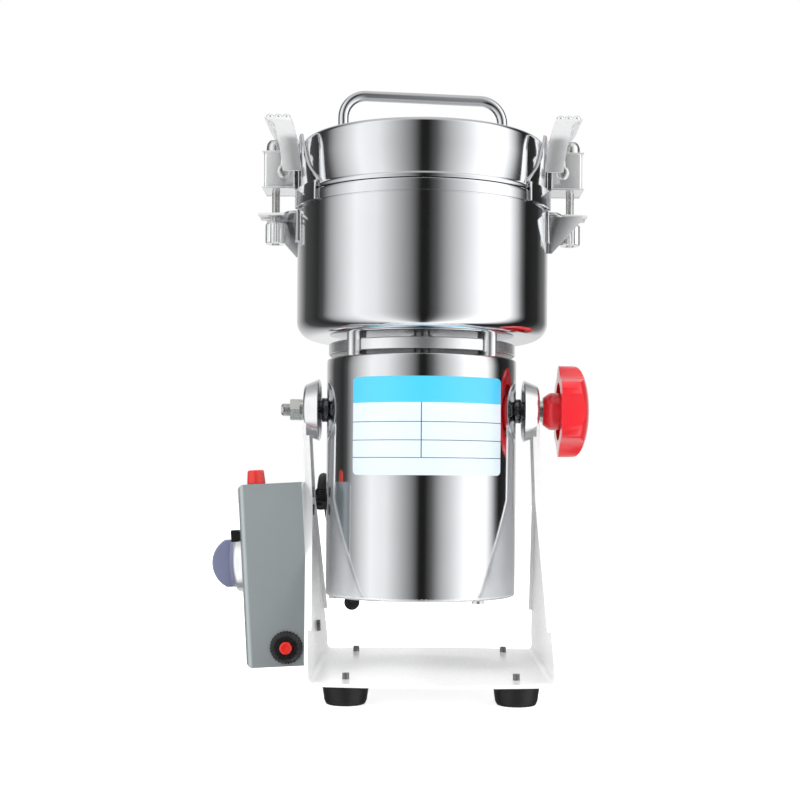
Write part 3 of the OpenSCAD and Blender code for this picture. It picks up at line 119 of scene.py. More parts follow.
class MillBox(PropertyGroup):
    """Control box on the left arm, in its own leaning frame."""
    foot: size("Distance of the box's foot from the mill's axis", 0.0640569)
    low: size("Height of the box above the table", 0.018)
    lean: FloatProperty(name="Lean", description="Lean of the left arm", default=math.radians(3.25858),
                        subtype="ANGLE")
    width: size("Width of the box", 0.038)
    depth: size("Depth of the box", 0.076)
    height: size("Height of the box", 0.108)
    corner: size("Radius of the outer edges", 0.004)
    timer_y: size("Timer's place across the box", 0.008, -1)
    timer_z: size("Timer's height on the box", 0.05994)
    collar: size("Diameter of the timer's collar", 0.041)
    collar_rise: size("How far the collar stands out", 0.0085)
    disc: size("Diameter of the timer's disc", 0.030)
    fin_rise: size("How far the grip fin stands out", 0.015)
    fin: size("Thickness of the grip fin", 0.007)
    switch_y: size("Switch's place across the box", -0.02356, -1)
    switch_z: size("Switch's height on the box", 0.07776)
    switch_w: size("Width of the switch's frame", 0.015)
    switch_h: size("Height of the switch's frame", 0.0105)
    ring_x: size("Reset button's place from the arm", 0.01368)
    ring_z: size("Reset button's height on the box", 0.01134)
    ring: size("Diameter of the ring nut", 0.0194)
    button: size("Diameter of the reset button", 0.0074)
    lamp_x: size("Lamp's place from the arm", 0.02964)
    lamp_y: size("Lamp's place across the box", -0.012, -1)
    lamp: size("Diameter of the lamp at its foot", 0.0115)
    lamp_rise: size("Height of the lamp", 0.0085)


class MillMotor(PropertyGroup):
    """Motor housing, pivot and clamp knob."""
    diameter: size("Diameter of the housing", 0.116)
    wall: size("Thickness of the housing's sheet", 0.001)
    disc: size("Diameter of the plate below the jar", 0.114)
    stud: size("Diameter of the pivot studs", 0.008)
    washer_face: size("Distance of the washers' outer faces from the axis", 0.0744)
    knob: size("Diameter over the knob's lobes", 0.056)
    knob_thick: size("Thickness of the knob's head", 0.0185)
    hub: size("Diameter of the knob's hub", 0.023)
    hub_length: size("Length of the hub", 0.0096)
    lobes: IntProperty(name="Lobes", description="Number of lobes of the knob", default=6, min=3, max=10)
    label_angle: FloatProperty(name="Label angle", description="How far the label reaches round the motor",
                               default=math.radians(96), subtype="ANGLE")
    label_turn: FloatProperty(name="Label turn", description="Turn of the label's middle to the right",
                              default=math.radians(5), subtype="ANGLE")


class MillJar(PropertyGroup):
    """Grinding jar, lid, handle and clasps."""
    diameter: size("Outer diameter of the jar", 0.1532)
    wall: size("Wall of the jar", 0.0012)
    corner: size("Outer radius of the lower corner", 0.0104)
    lid: size("Diameter of the lid's wall", 0.1488)
    lid_height: size("Height of the lid", 0.035)
    lid_edge: size("Radius of the lid's upper edge", 0.003)
    handle_width: size("Width of the handle", 0.105)
    handle_height: size("Height of the handle", 0.033)
    handle_rod: size("Diameter of the handle's rod", 0.0064)
    handle_corner: size("Outer radius of the handle's corners", 0.017)
    handle_turn: FloatProperty(name="Handle turn", description="How far the handle is turned from the clasps",
                               default=math.radians(8), subtype="ANGLE")
    rod_reach: size("Distance of a clasp's rod from the axis", 0.0903)
    rod: size("Diameter of a clasp's rod", 0.005)


class MillFinish(PropertyGroup):
    """Colours of the finishes."""
    steel: colour("Mirror steel", (0.80, 0.81, 0.83))
    bracket: colour("Polished bracket", (0.985, 0.985, 0.99))
    satin: colour("Satin disc", (0.88, 0.89, 0.90))
    zinc: colour("Zinc plating", (0.80, 0.80, 0.78))
    grey: colour("Box paint", (0.42, 0.465, 0.48))
    red: colour("Red knob", (0.78, 0.02, 0.03))
    lamp: colour("Lamp and button", (0.75, 0.02, 0.012))
    violet: colour("Timer grip", (0.185, 0.20, 0.31))
    black: colour("Black rubber", (0.007, 0.007, 0.008))
    sky: colour("Label's head band", (0.07, 0.56, 0.86))


def settings(name):
    return getattr(bpy.context.scene, "mill_" + name)


# Hand tools

def clear():
    """Leaves edit mode with nothing selected."""
    if bpy.context.object and bpy.context.object.mode != "OBJECT":
        bpy.ops.object.mode_set(mode="OBJECT")
    bpy.ops.object.select_all(action="DESELECT")


def only(piece):
    clear()
    piece.select_set(True)
    bpy.context.view_layer.objects.active = piece
    return piece


def edit(piece):
    only(piece)
    bpy.ops.object.mode_set(mode="EDIT")
    bpy.ops.mesh.select_all(action="SELECT")


def settle(piece):
    """Writes an object's place into its mesh."""
    only(piece)
    bpy.ops.object.transform_apply(location=True, rotation=True, scale=True)
    return piece


def placed(piece, matrix):
    """Moves a piece that was made at the origin to its place."""
    piece.matrix_world = matrix
    bpy.context.view_layer.update()
    return settle(piece)


def tidy(piece):
    """Merges doubles, closes open ends and turns the faces outwards."""
    edit(piece)
    bpy.ops.mesh.remove_doubles(threshold=SAME_PLACE)
    bpy.ops.mesh.fill_holes(sides=0)
    bpy.ops.mesh.normals_make_consistent(inside=False)
    clear()
    return piece


def turned(name, profile, sides=ROUND):
    """A form turned about Z. The profile lists radius and height; open ends are closed flat."""
    clear()
    radius, height = profile[0]
    bpy.ops.mesh.primitive_circle_add(vertices=sides, radius=radius, location=(0, 0, height))
    piece = bpy.context.object
    piece.name = name
    settle(piece)
    edit(piece)
    for next_radius, next_height in profile[1:]:
        bpy.ops.mesh.extrude_region_move(TRANSFORM_OT_translate={"value": (0, 0, next_height - height)})
        grow = next_radius / radius
        if abs(grow - 1) > 1e-7:
            bpy.ops.transform.resize(value=(grow, grow, 1), center_override=(0, 0, next_height))
        radius, height = next_radius, next_height
    return tidy(piece)


def traced(name, outline, depth, turn=(0, 0, 0), at=(0, 0, 0), centred=True):
    """A plate whose outline is pulled from one point in X and Y, raised to its depth, then turned."""
    clear()
    bpy.ops.mesh.primitive_plane_add(size=MM)
    piece = bpy.context.object
    piece.name = name
    edit(piece)
    bpy.ops.mesh.merge(type="CENTER")
    start_z = -depth / 2 if centred else 0
    bpy.ops.transform.translate(value=(outline[0][0], outline[0][1], start_z))
    for a, b in zip(outline, outline[1:] + outline[:1]):
        bpy.ops.mesh.extrude_vertices_move(TRANSFORM_OT_translate={"value": (b[0] - a[0], b[1] - a[1], 0)})
    bpy.ops.mesh.select_all(action="SELECT")
    bpy.ops.mesh.remove_doubles(threshold=SAME_PLACE)
    bpy.ops.mesh.edge_face_add()
    bpy.ops.mesh.extrude_region_move(TRANSFORM_OT_translate={"value": (0, 0, depth)})
    bpy.ops.mesh.select_all(action="SELECT")
    bpy.ops.mesh.normals_make_consistent(inside=False)
    clear()
    piece.rotation_euler = turn
    piece.location = at
    bpy.context.view_layer.update()
    return settle(piece)


def block(name, dims, at):
    """A box by its size and middle, ready for bevels and cuts."""
    clear()
    bpy.ops.mesh.primitive_cube_add(size=1, location=at)
    piece = bpy.context.object
    piece.name = name
    piece.scale = dims
    bpy.context.view_layer.update()
    return settle(piece)


def modified(piece, kind, **values):
    """Adds a modifier, sets it and applies it."""
    only(piece)
    bpy.ops.object.modifier_add(type=kind)
    modifier = piece.modifiers[-1]
    for key, value in values.items():
        setattr(modifier, key, value)
    bpy.ops.object.modifier_apply(modifier=modifier.name)
    return piece


def rounded(piece, width, segments=3, angle=35):
    """Rounds the edges that turn more than the angle."""
    return modified(piece, "BEVEL", width=width, segments=segments, limit_method="ANGLE",
                    angle_limit=math.radians(angle), use_clamp_overlap=True, miter_outer="MITER_ARC")


def removed(piece):
    only(piece)
    bpy.ops.object.delete()


def carved(piece, tool, way="DIFFERENCE"):
    """Cuts a piece by a tool, joins them or keeps what they share, and throws the tool away."""
    modified(piece, "BOOLEAN", operation=way, object=tool, solver="EXACT")
    removed(tool)
    return piece


def joined(name, parts):
    """One piece of several meshes."""
    clear()
    for part in parts:
        part.select_set(True)
    bpy.context.view_layer.objects.active = parts[0]
    if len(parts) > 1:
        bpy.ops.object.join()
    piece = bpy.context.object
    piece.name = name
    return piece


def copied(piece, matrix=Matrix.Identity(4)):
    """A copy with its own mesh, moved by a matrix."""
    twin = piece.copy()
    twin.data = piece.data.copy()
    bpy.context.scene.collection.objects.link(twin)
    return placed(twin, matrix)


def softened(piece, angle=32):
    """Smooth shading, with sharp edges where faces turn more than the angle."""
    only(piece)
    bpy.ops.object.shade_smooth_by_angle(angle=math.radians(angle))
    return piece


def even_shading(piece):
    """Weights the normals by the faces' size, so a large face stays even beside its soft edges."""
    return modified(piece, "WEIGHTED_NORMAL", keep_sharp=True)


def arc(cx, cy, radius, start, end, steps):
    """Points of an arc, in degrees."""
    turns = [math.radians(start + (end - start) * i / steps) for i in range(steps + 1)]
    return [(cx + radius * math.cos(a), cy + radius * math.sin(a)) for a in turns]


def off(x, y, *moves):
    """Points near one corner of a profile or outline, each moved off it by thousandths."""
    return [(x + dx * MM, y + dy * MM) for dx, dy in moves]


def smoothed(points, times=2):
    """Cuts the corners of an open line and keeps its ends."""
    for _ in range(times):
        line = [points[0]]
        for (ax, ay), (bx, by) in zip(points, points[1:]):
            line += [(ax * 0.75 + bx * 0.25, ay * 0.75 + by * 0.25),
                     (ax * 0.25 + bx * 0.75, ay * 0.25 + by * 0.75)]
        points = line + [points[-1]]
    return points


def thread(radius, pitch, low, high):
    """The profile of a screw thread between two heights."""
    ridges = max(2, round((high - low) / pitch))
    step = (high - low) / ridges
    points = []
    for i in range(ridges):
        z = low + i * step
        points += [(radius - 0.3 * pitch, z + 0.1 * step), (radius, z + 0.4 * step),
                   (radius, z + 0.6 * step), (radius - 0.3 * pitch, z + 0.9 * step)]
    return points


def turn_x(angle):
    return Matrix.Rotation(math.radians(angle), 4, "X")


def turn_y(angle):
    return Matrix.Rotation(math.radians(angle), 4, "Y")


def turn_z(angle):
    return Matrix.Rotation(math.radians(angle), 4, "Z")


def shift(x, y, z):
    return Matrix.Translation((x, y, z))


def box_frame():
    """The control box's frame: -x runs out from the arm, z up along it."""
    box = settings("box")
    return shift(MILL_X - box.foot, 0, box.low) @ Matrix.Rotation(-box.lean, 4, "Y")


def kept(piece, body, slot, material, *nodes, angle=32):
    """Gives a finished piece its material and its body, and hides the CAD nodes that it stands for."""
    softened(piece, angle)
    piece.data.materials.clear()
    piece.data.materials.append(material)
    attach(piece, body)
    if nodes:
        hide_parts(*nodes)
    return piece


# Finishes

FINISHES = {}


# Size of the clouds in a finish, and the part of a noise's range that is put to use
CLOUD_SCALE = 38.0
NOISE_LOW, NOISE_HIGH = 0.3, 0.7
LEAST_ROUGH = 0.02
COAT_ROUGH = 0.08
GRAIN_DEPTH = 0.0002


def node(nodes, kind, inputs=None, **values):
    """A shader node with its settings, and its sockets' values by name or number."""
    new = nodes.new("ShaderNode" + kind)
    for key, value in values.items():
        setattr(new, key, value)
    for socket, value in (inputs or {}).items():
        new.inputs[socket].default_value = value
    return new


def finish(name, base, metallic=0.0, rough=0.4, rough_span=0.08, grain=0.0, grain_scale=900.0,
           stretch=(1, 1, 1), tint=0.04, coat=0.0):
    """A procedural finish: clouded colour, uneven gloss and a fine grain in Object coordinates."""
    if name in FINISHES:
        return FINISHES[name]
    material = bpy.data.materials.new(name)
    material.use_nodes = True
    nodes, links = material.node_tree.nodes, material.node_tree.links
    shader = nodes["Principled BSDF"]
    shader.inputs["Metallic"].default_value = metallic
    shader.inputs["Coat Weight"].default_value = coat
    shader.inputs["Coat Roughness"].default_value = COAT_ROUGH
    place = node(nodes, "TexCoord")
    mapping = node(nodes, "Mapping", {"Scale": stretch})
    links.new(place.outputs["Object"], mapping.inputs["Vector"])
    cloud = node(nodes, "TexNoise", {"Scale": CLOUD_SCALE, "Detail": 5.0})
    links.new(place.outputs["Object"], cloud.inputs["Vector"])
    shade = node(nodes, "ValToRGB")
    dark, light = shade.color_ramp.elements
    dark.position, light.position = NOISE_LOW, NOISE_HIGH
    dark.color = (*[c * (1 - tint) for c in base], 1)
    light.color = (*[min(1, c * (1 + tint)) for c in base], 1)
    links.new(cloud.outputs["Fac"], shade.inputs["Fac"])
    links.new(shade.outputs["Color"], shader.inputs["Base Color"])
    fine = node(nodes, "TexNoise", {"Scale": grain_scale, "Detail": 3.0})
    links.new(mapping.outputs["Vector"], fine.inputs["Vector"])
    gloss = node(nodes, "MapRange", {
        "From Min": NOISE_LOW, "From Max": NOISE_HIGH,
        "To Min": max(LEAST_ROUGH, rough - rough_span), "To Max": rough + rough_span})
    links.new(fine.outputs["Fac"] if grain else cloud.outputs["Fac"], gloss.inputs["Value"])
    links.new(gloss.outputs["Result"], shader.inputs["Roughness"])
    if grain:
        bump = node(nodes, "Bump", {"Strength": grain, "Distance": GRAIN_DEPTH})
        links.new(fine.outputs["Fac"], bump.inputs["Height"])
        links.new(bump.outputs["Normal"], shader.inputs["Normal"])
    FINISHES[name] = material
    return material


def label_finish():
    """A blank label: a sky-blue head band over pale rows with thin rules."""
    rule, rule_half = (0.05, 0.10, 0.16), 0.004
    rows, head = (0.177, 0.354, 0.54), 0.735
    past_top = 2.0
    material = finish("label_print", (0.70, 0.80, 0.88), rough=0.22, coat=0.5, tint=0.02)
    nodes, links = material.node_tree.nodes, material.node_tree.links
    place = node(nodes, "TexCoord")
    axes = node(nodes, "SeparateXYZ")
    links.new(place.outputs["Object"], axes.inputs["Vector"])
    low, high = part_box("rating_label")
    rise = node(nodes, "MapRange", {"From Min": low.z, "From Max": high.z})
    links.new(axes.outputs["Z"], rise.inputs["Value"])

    def band(source, start, end):
        """1 where the source lies between start and end."""
        over = node(nodes, "Math", {1: start}, operation="GREATER_THAN")
        under = node(nodes, "Math", {1: end}, operation="LESS_THAN")
        both = node(nodes, "Math", operation="MULTIPLY")
        links.new(source, over.inputs[0])
        links.new(source, under.inputs[0])
        links.new(over.outputs[0], both.inputs[0])
        links.new(under.outputs[0], both.inputs[1])
        return both.outputs[0]

    def mixed(below, above, factor):
        mix = node(nodes, "Mix", {7: (*above, 1)}, data_type="RGBA")
        links.new(below, mix.inputs[6])
        links.new(factor, mix.inputs[0])
        return mix.outputs[2]

    tone = nodes["Color Ramp"].outputs["Color"]
    height = rise.outputs["Result"]
    for level in rows:
        tone = mixed(tone, rule, band(height, level - rule_half, level + rule_half))
    split = band(axes.outputs["X"], MILL_X - 0.3 * MM, MILL_X + 0.3 * MM)
    split_rows = node(nodes, "Math", operation="MULTIPLY")
    links.new(split, split_rows.inputs[0])
    links.new(band(height, rows[0], head), split_rows.inputs[1])
    tone = mixed(tone, rule, split_rows.outputs[0])
    tone = mixed(tone, tuple(settings("finish").sky), band(height, head, past_top))
    links.new(tone, nodes["Principled BSDF"].inputs["Base Color"])
    return material


def painted_underside_shade(material):
    """Paints shade on the lower face of the plate under the jar: darkens it nearly to black, as it lies in
    its own shade.
    """
    nodes, links = material.node_tree.nodes, material.node_tree.links
    base = nodes["Principled BSDF"].inputs["Base Color"]
    place = node(nodes, "TexCoord")
    axes = node(nodes, "SeparateXYZ")
    # Painted shade: below this height the plate's lower face takes a near-black colour instead of the steel's
    # colour
    below = node(nodes, "Math", {1: DISC_LOW.z + 0.2 * MM}, operation="LESS_THAN")
    mix = node(nodes, "Mix", {7: (0.03, 0.03, 0.032, 1)}, data_type="RGBA")
    links.new(place.outputs["Object"], axes.inputs["Vector"])
    links.new(axes.outputs["Z"], below.inputs[0])
    links.new(below.outputs[0], mix.inputs[0])
    links.new(base.links[0].from_socket, mix.inputs[6])
    links.new(mix.outputs[2], base)


def make_finishes():
    tones = settings("finish")
    steel, bracket = tuple(tones.steel), tuple(tones.bracket)
    finish("mirror_steel", steel, 1.0, rough=0.09, rough_span=0.02, grain=0.02, grain_scale=700,
           stretch=(1, 1, 18), tint=0.015)
    finish("polished_sheet", bracket, 0.15, rough=0.2, rough_span=0.04, grain=0.02, grain_scale=500,
           tint=0.015)
    finish("plated_steel", (0.93, 0.94, 0.95), 0.7, rough=0.16, rough_span=0.04, grain=0.02, tint=0.015)
    finish("bright_plating", (0.97, 0.98, 0.99), 0.74, rough=0.13, rough_span=0.04, tint=0.015, coat=0.6)
    finish("drawn_steel", (0.86, 0.87, 0.88), 0.92, rough=0.16, rough_span=0.04, tint=0.02)
    # Two copies of the satin finish: the plate under the jar gets its own copy, with painted shade on its
    # lower face
    for name in ("satin_disc", "disc_steel"):
        finish(name, tuple(tones.satin), 0.85, rough=0.20, rough_span=0.04, grain=0.02, tint=0.03)
    painted_underside_shade(FINISHES["disc_steel"])
    finish("zinc", tuple(tones.zinc), 0.95, rough=0.24, rough_span=0.06, grain=0.04, tint=0.04)
    finish("dark_steel", (0.20, 0.20, 0.21), 1.0, rough=0.28, rough_span=0.06, grain=0.05, tint=0.08)
    finish("box_paint", tuple(tones.grey), 0.5, rough=0.18, rough_span=0.03, tint=0.012, coat=0.9)
    finish("red_gloss", tuple(tones.red), rough=0.22, rough_span=0.04, tint=0.03, coat=0.6)
    finish("red_clear", tuple(tones.lamp), rough=0.18, rough_span=0.05, tint=0.08, coat=0.5)
    finish("violet_grip", tuple(tones.violet), rough=0.35, rough_span=0.05, grain=0.04, tint=0.05, coat=0.1)
    finish("black_rubber", tuple(tones.black), rough=0.52, rough_span=0.10, grain=0.35, grain_scale=1500,
           tint=0.25)
    finish("black_plastic", (0.010, 0.010, 0.011), rough=0.26, rough_span=0.06, grain=0.05, tint=0.2)
    finish("white_silicone", (0.80, 0.80, 0.77), rough=0.45, rough_span=0.08, grain=0.1, tint=0.03)
    finish("copper_wire", (0.62, 0.26, 0.11), 1.0, rough=0.34, rough_span=0.08, grain=0.5,
           grain_scale=700, stretch=(1, 1, 6), tint=0.15)
    finish("core_sheets", (0.22, 0.22, 0.23), 1.0, rough=0.45, rough_span=0.1, grain=0.6,
           grain_scale=1000, stretch=(0.02, 0.02, 2), tint=0.1)
    finish("cast_metal", (0.42, 0.43, 0.44), 1.0, rough=0.42, rough_span=0.08, grain=0.4, tint=0.08)
    finish("ground_steel", (0.66, 0.67, 0.68), 1.0, rough=0.2, rough_span=0.07, grain=0.25,
           grain_scale=500, stretch=(1, 12, 1), tint=0.05)
    finish("brass_strip", (0.56, 0.38, 0.12), 1.0, rough=0.3, rough_span=0.08, grain=0.1, tint=0.08)
    finish("carbon_block", (0.02, 0.02, 0.021), rough=0.55, rough_span=0.1, grain=0.4, tint=0.2)
    finish("pale_moulding", (0.62, 0.62, 0.56), rough=0.42, rough_span=0.08, grain=0.15, tint=0.04)


NODE_FINISHES = {
    "foot_screws": "dark_steel", "box_cover": "box_paint", "box_screws": "dark_steel",
    "timer_body": "pale_moulding", "breaker_body": "black_plastic", "pivot_washers": "zinc",
    "bottom_cover": "plated_steel", "cover_screws": "zinc", "jar_posts": "satin_disc",
    "stator_core": "core_sheets", "stator_windings": "copper_wire", "motor_bearings": "plated_steel",
    "end_bells": "cast_metal", "brush_holders": "brass_strip", "carbon_brushes": "carbon_block",
    "pivot_bosses": "dark_steel", "pivot_studs": "zinc", "shaft_seal": "black_rubber",
    "jar_screws": "zinc", "motor_shaft": "ground_steel", "armature": "core_sheets",
    "commutator": "copper_wire", "cooling_fan": "black_plastic", "lower_blade": "ground_steel",
    "upper_blade": "ground_steel", "blade_spacer": "satin_disc", "blade_nut": "zinc",
    "lid_gasket": "white_silicone",
}


class MILL_OT_stage(Operator):
    """Sets up the camera, the pale floor, the lamps and the room that the metal mirrors"""
    bl_idname = "mill.stage"
    bl_label = "Studio"

    # The camera's distance, height, roll in degrees, lens in millimetres and shift
    view_distance, view_height, view_roll = 0.85, 0.128, -0.4
    sensor, lens, shift = 36, 62.2, (-0.0262, 0.0987)
    # Place, width and power of each lamp
    lamps = {
        "key_lamp": ((-0.9, -1.1, 1.3), 0.9, 13),
        "fill_lamp": ((1.1, -1.0, 0.9), 1.0, 8),
        "top_lamp": ((0.0, 0.2, 1.6), 1.2, 9),
    }
    # How far the floor lifts itself to white, how bright the room is to matt surfaces, and the slopes between
    # which its walls turn into the ceiling
    floor_glow = 0.75
    soft_level = 0.8
    ceiling_rise = (0.62, 0.92)

    def execute(self, context):
        clear()
        bpy.ops.object.camera_add(location=(MILL_X, -self.view_distance, self.view_height),
                                  rotation=(math.radians(90), math.radians(self.view_roll), 0))
        camera = context.object
        camera.name = "mill_camera"
        camera.data.sensor_width = self.sensor
        camera.data.lens = self.lens
        camera.data.shift_x, camera.data.shift_y = self.shift
        context.scene.camera = camera
        context.scene.view_settings.view_transform = "Standard"
        self.floor()
        for name, (place, width, power) in self.lamps.items():
            self.lamp(name, place, width, power)
        self.room()
        return {"FINISHED"}

    def lamp(self, name, place, width, power):
        aim = Vector((MILL_X, 0, 0.17)) - Vector(place)
        bpy.ops.object.light_add(type="AREA", location=place,
                                 rotation=aim.to_track_quat("-Z", "Y").to_euler())
        light = bpy.context.object
        light.name = name
        light.data.shape = "DISK"
        light.data.size = width
        light.data.energy = power
        light.visible_glossy = False

    def floor(self):
        bpy.ops.mesh.primitive_plane_add(size=12, location=(0, 0, 0))
        floor = bpy.context.object
        floor.name = "studio_floor"
        material = bpy.data.materials.new("studio_white")
        material.use_nodes = True
        nodes, links = material.node_tree.nodes, material.node_tree.links
        shader = nodes["Principled BSDF"]
        shader.inputs["Base Color"].default_value = (0.9, 0.9, 0.9, 1)
        shader.inputs["Roughness"].default_value = 0.6
        shader.inputs["Emission Color"].default_value = (1, 1, 1, 1)
        rays = node(nodes, "LightPath")
        glow = node(nodes, "Math", {1: self.floor_glow}, operation="MULTIPLY")
        links.new(rays.outputs["Is Camera Ray"], glow.inputs[0])
        links.new(glow.outputs[0], shader.inputs["Emission Strength"])
        clear_to_mirrors = node(nodes, "BsdfTransparent")
        choose = node(nodes, "MixShader")
        links.new(rays.outputs["Is Glossy Ray"], choose.inputs["Fac"])
        links.new(shader.outputs[0], choose.inputs[1])
        links.new(clear_to_mirrors.outputs[0], choose.inputs[2])
        links.new(choose.outputs[0], nodes["Material Output"].inputs["Surface"])
        floor.data.materials.append(material)

    def room(self):
        """White to the camera, softly lit for matt surfaces, and soft boxes with dark flags in the metal."""
        world = bpy.data.worlds.new("studio_room")
        bpy.context.scene.world = world
        world.use_nodes = True
        nodes, links = world.node_tree.nodes, world.node_tree.links
        nodes.clear()
        out = node(nodes, "OutputWorld")
        plain = node(nodes, "Background", {"Color": (1, 1, 1, 1)})
        rays = node(nodes, "LightPath")
        level = node(nodes, "MapRange", {"To Min": self.soft_level, "To Max": 1.0})
        links.new(rays.outputs["Is Camera Ray"], level.inputs["Value"])
        links.new(level.outputs["Result"], plain.inputs["Strength"])
        mirrored = node(nodes, "Background")
        place = node(nodes, "TexCoord")
        axes = node(nodes, "SeparateXYZ")
        links.new(place.outputs["Generated"], axes.inputs["Vector"])
        away = node(nodes, "Math", {1: -1}, operation="MULTIPLY")
        links.new(axes.outputs["Y"], away.inputs[0])
        bearing = node(nodes, "Math", operation="ARCTAN2")
        links.new(axes.outputs["X"], bearing.inputs[0])
        links.new(away.outputs[0], bearing.inputs[1])
        around = node(nodes, "MapRange", {"From Min": -math.pi, "From Max": math.pi})
        links.new(bearing.outputs[0], around.inputs["Value"])
        cards = node(nodes, "ValToRGB")
        ramp = cards.color_ramp
        while len(ramp.elements) < len(ROOM_CARDS):
            ramp.elements.new(0.5)
        for element, (angle, value) in zip(ramp.elements, ROOM_CARDS):
            element.position = (angle + 180) / 360
            element.color = (value, value, value, 1)
        links.new(around.outputs["Result"], cards.inputs["Fac"])
        low, high = self.ceiling_rise
        ceiling = node(nodes, "MapRange", {"From Min": low, "From Max": high},
                       interpolation_type="SMOOTHSTEP")
        links.new(axes.outputs["Z"], ceiling.inputs["Value"])
        over = node(nodes, "Mix", {7: (0.62, 0.62, 0.62, 1)}, data_type="RGBA")
        links.new(ceiling.outputs["Result"], over.inputs[0])
        links.new(cards.outputs["Color"], over.inputs[6])
        links.new(over.outputs[2], mirrored.inputs["Color"])
        choose = node(nodes, "MixShader")
        links.new(rays.outputs["Is Glossy Ray"], choose.inputs["Fac"])
        links.new(plain.outputs[0], choose.inputs[1])
        links.new(mirrored.outputs[0], choose.inputs[2])
        links.new(choose.outputs[0], out.inputs["Surface"])


# How bright the room is at each bearing from the front, in degrees to the right
ROOM_CARDS = (
    (-180, 0.95), (-152, 0.50), (-132, 0.08), (-110, 0.03), (-101, 0.08), (-91, 0.42), (-78, 0.75),
    (-62, 1.12), (-42, 0.98), (-24, 0.54), (-11, 0.25), (-2, 0.012), (5, 0.012), (13, 0.12), (24, 0.48),
    (38, 0.84), (56, 1.35), (84, 1.32), (93, 0.74), (101, 0.16), (107, 0.012), (128, 0.03), (147, 0.2),
    (163, 0.75),
)


class MILL_OT_lead(Operator):
    """The black lead from the box to the motor, with its glands"""
    bl_idname = "mill.lead"
    bl_label = "Motor lead"

    route = (
        (-63.4, 32, 120), (-63.4, 36.5, 124), (-63.4, 43, 127.5), (-63.4, 50.5, 128.6), (-63.3, 58, 127.4),
        (-63, 65.5, 123.3), (-62.4, 71.5, 116), (-61.4, 74.2, 106), (-59.6, 74.6, 96), (-57, 74.6, 85),
        (-53.5, 73.6, 73), (-50, 69.6, 61.5), (-46.8, 61, 53), (-44, 50, 50), (-43, 41, 50), (-43, 32, 50),
    )

    def execute(self, context):
        clear()
        bpy.ops.curve.primitive_nurbs_path_add()
        line = context.object
        line.name = "lead_line"
        spline = line.data.splines
        spline.clear()
        path = spline.new("BEZIER")
        path.bezier_points.add(len(self.route) - 1)  # It starts with one point
        for point, (x, y, z) in zip(path.bezier_points, self.route):
            point.co = (MILL_X + x * MM, y * MM, z * MM)
            point.handle_left_type = point.handle_right_type = "AUTO"
        line.data.resolution_u = 8
        line.data.bevel_depth = 0
        curve = line.copy()
        curve.data = line.data.copy()
        context.scene.collection.objects.link(curve)
        only(curve)
        bpy.ops.object.convert(target="MESH")
        bpy.ops.object.delete()
        line.data.bevel_depth = 0.003
        line.data.bevel_resolution = 6
        line.data.use_fill_caps = True
        only(line)
        bpy.ops.object.convert(target="MESH")
        lead = settle(context.object)
        lead.name = "motor_lead_sleeve"
        softened(lead, 50)
        lead.data.materials.clear()
        lead.data.materials.append(FINISHES["black_rubber"])
        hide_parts("motor_lead")
        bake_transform(lead)
        self.glands()
        return {"FINISHED"}

    # The ribbed sleeves on the lead's ends: slope of the upper one in degrees, bore, length,
    # and ribs with their pitch
    arm_slope, bore, length = 42, 0.0031, 0.012
    ribs, pitch = 5, 0.0022

    def sleeve(self, name, place):
        profile = [(self.bore, 0.0), (0.0037, 0), (0.0037, -0.0006)]
        for i in range(self.ribs):
            profile += off(0.0040 + 0.0002 * i, -0.0006 - self.pitch * i,
                           (0, -0.2), (0, -1.4), (-0.5, -1.6), (-0.5, -2.1))
        return placed(turned(name, profile + [(0.0048, -self.length)], SMALL), MILL @ place)

    def glands(self):
        rubber = FINISHES["black_rubber"]
        box = settings("box")
        start, end = Vector(self.route[0]) * MM, Vector(self.route[-1]) * MM
        arm_end = self.sleeve("arm_sleeve", Matrix.Translation(start) @ turn_x(-self.arm_slope))
        stub = turned("stub", [(0.0001, 0), (0.0040, 0), (0.0040, 0.0048), (0.0052, 0.0050),
                               (0.0052, 0.0066), (0.0048, 0.0070), (0.0040, 0.0070), (0.0040, 0.0108)], SMALL)
        slope = math.radians(self.arm_slope)
        gland_y = start.y - self.length * math.sin(slope) * 0.75
        gland_z = (start.z - self.length * math.cos(slope) * 0.75 - box.low) / math.cos(box.lean)
        placed(stub, box_frame() @ shift(0.00576, gland_y, gland_z) @ turn_y(-90) @ shift(0, 0, -0.001))
        kept(joined("lead_strain_relief", [arm_end, stub]), "stand", "rubber", rubber, "lead_gland")
        motor_end = self.sleeve("motor_sleeve", Matrix.Translation(end) @ turn_x(-90))
        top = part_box("motor_gland")[1].z
        neck = turned("neck", [(0.0001, end.z), (0.0040, end.z), (0.0040, 0.0545), (0.0056, 0.0549),
                               (0.0056, 0.0567), (0.0040, 0.0569), (0.0040, top), (0.0001, top)], SMALL)
        placed(neck, MILL @ shift(end.x, end.y - self.length * 0.72, 0))
        kept(joined("motor_strain_relief", [motor_end, neck]), "mill", "rubber", rubber, "motor_gland")
        mains = turned("mains_strain_relief", [
            (self.bore, -0.003), (0.0040, -0.003), (0.0040, 0), (0.0068, 0), (0.0068, 0.0016),
            (0.0062, 0.002), (0.0060, 0.0024), (0.0056, 0.004), (0.0053, 0.0044), (0.0053, 0.0054),
            (0.0050, 0.0058), (0.0046, 0.0078), (0.0043, 0.008), (self.bore, 0.008),
            (self.bore, -0.003)], SMALL)
        placed(mains, box_frame() @ shift(-box.width / 2, box.depth / 2, 0.14 * box.height) @ turn_x(-90))
        kept(mains, "stand", "rubber", rubber, "mains_gland")


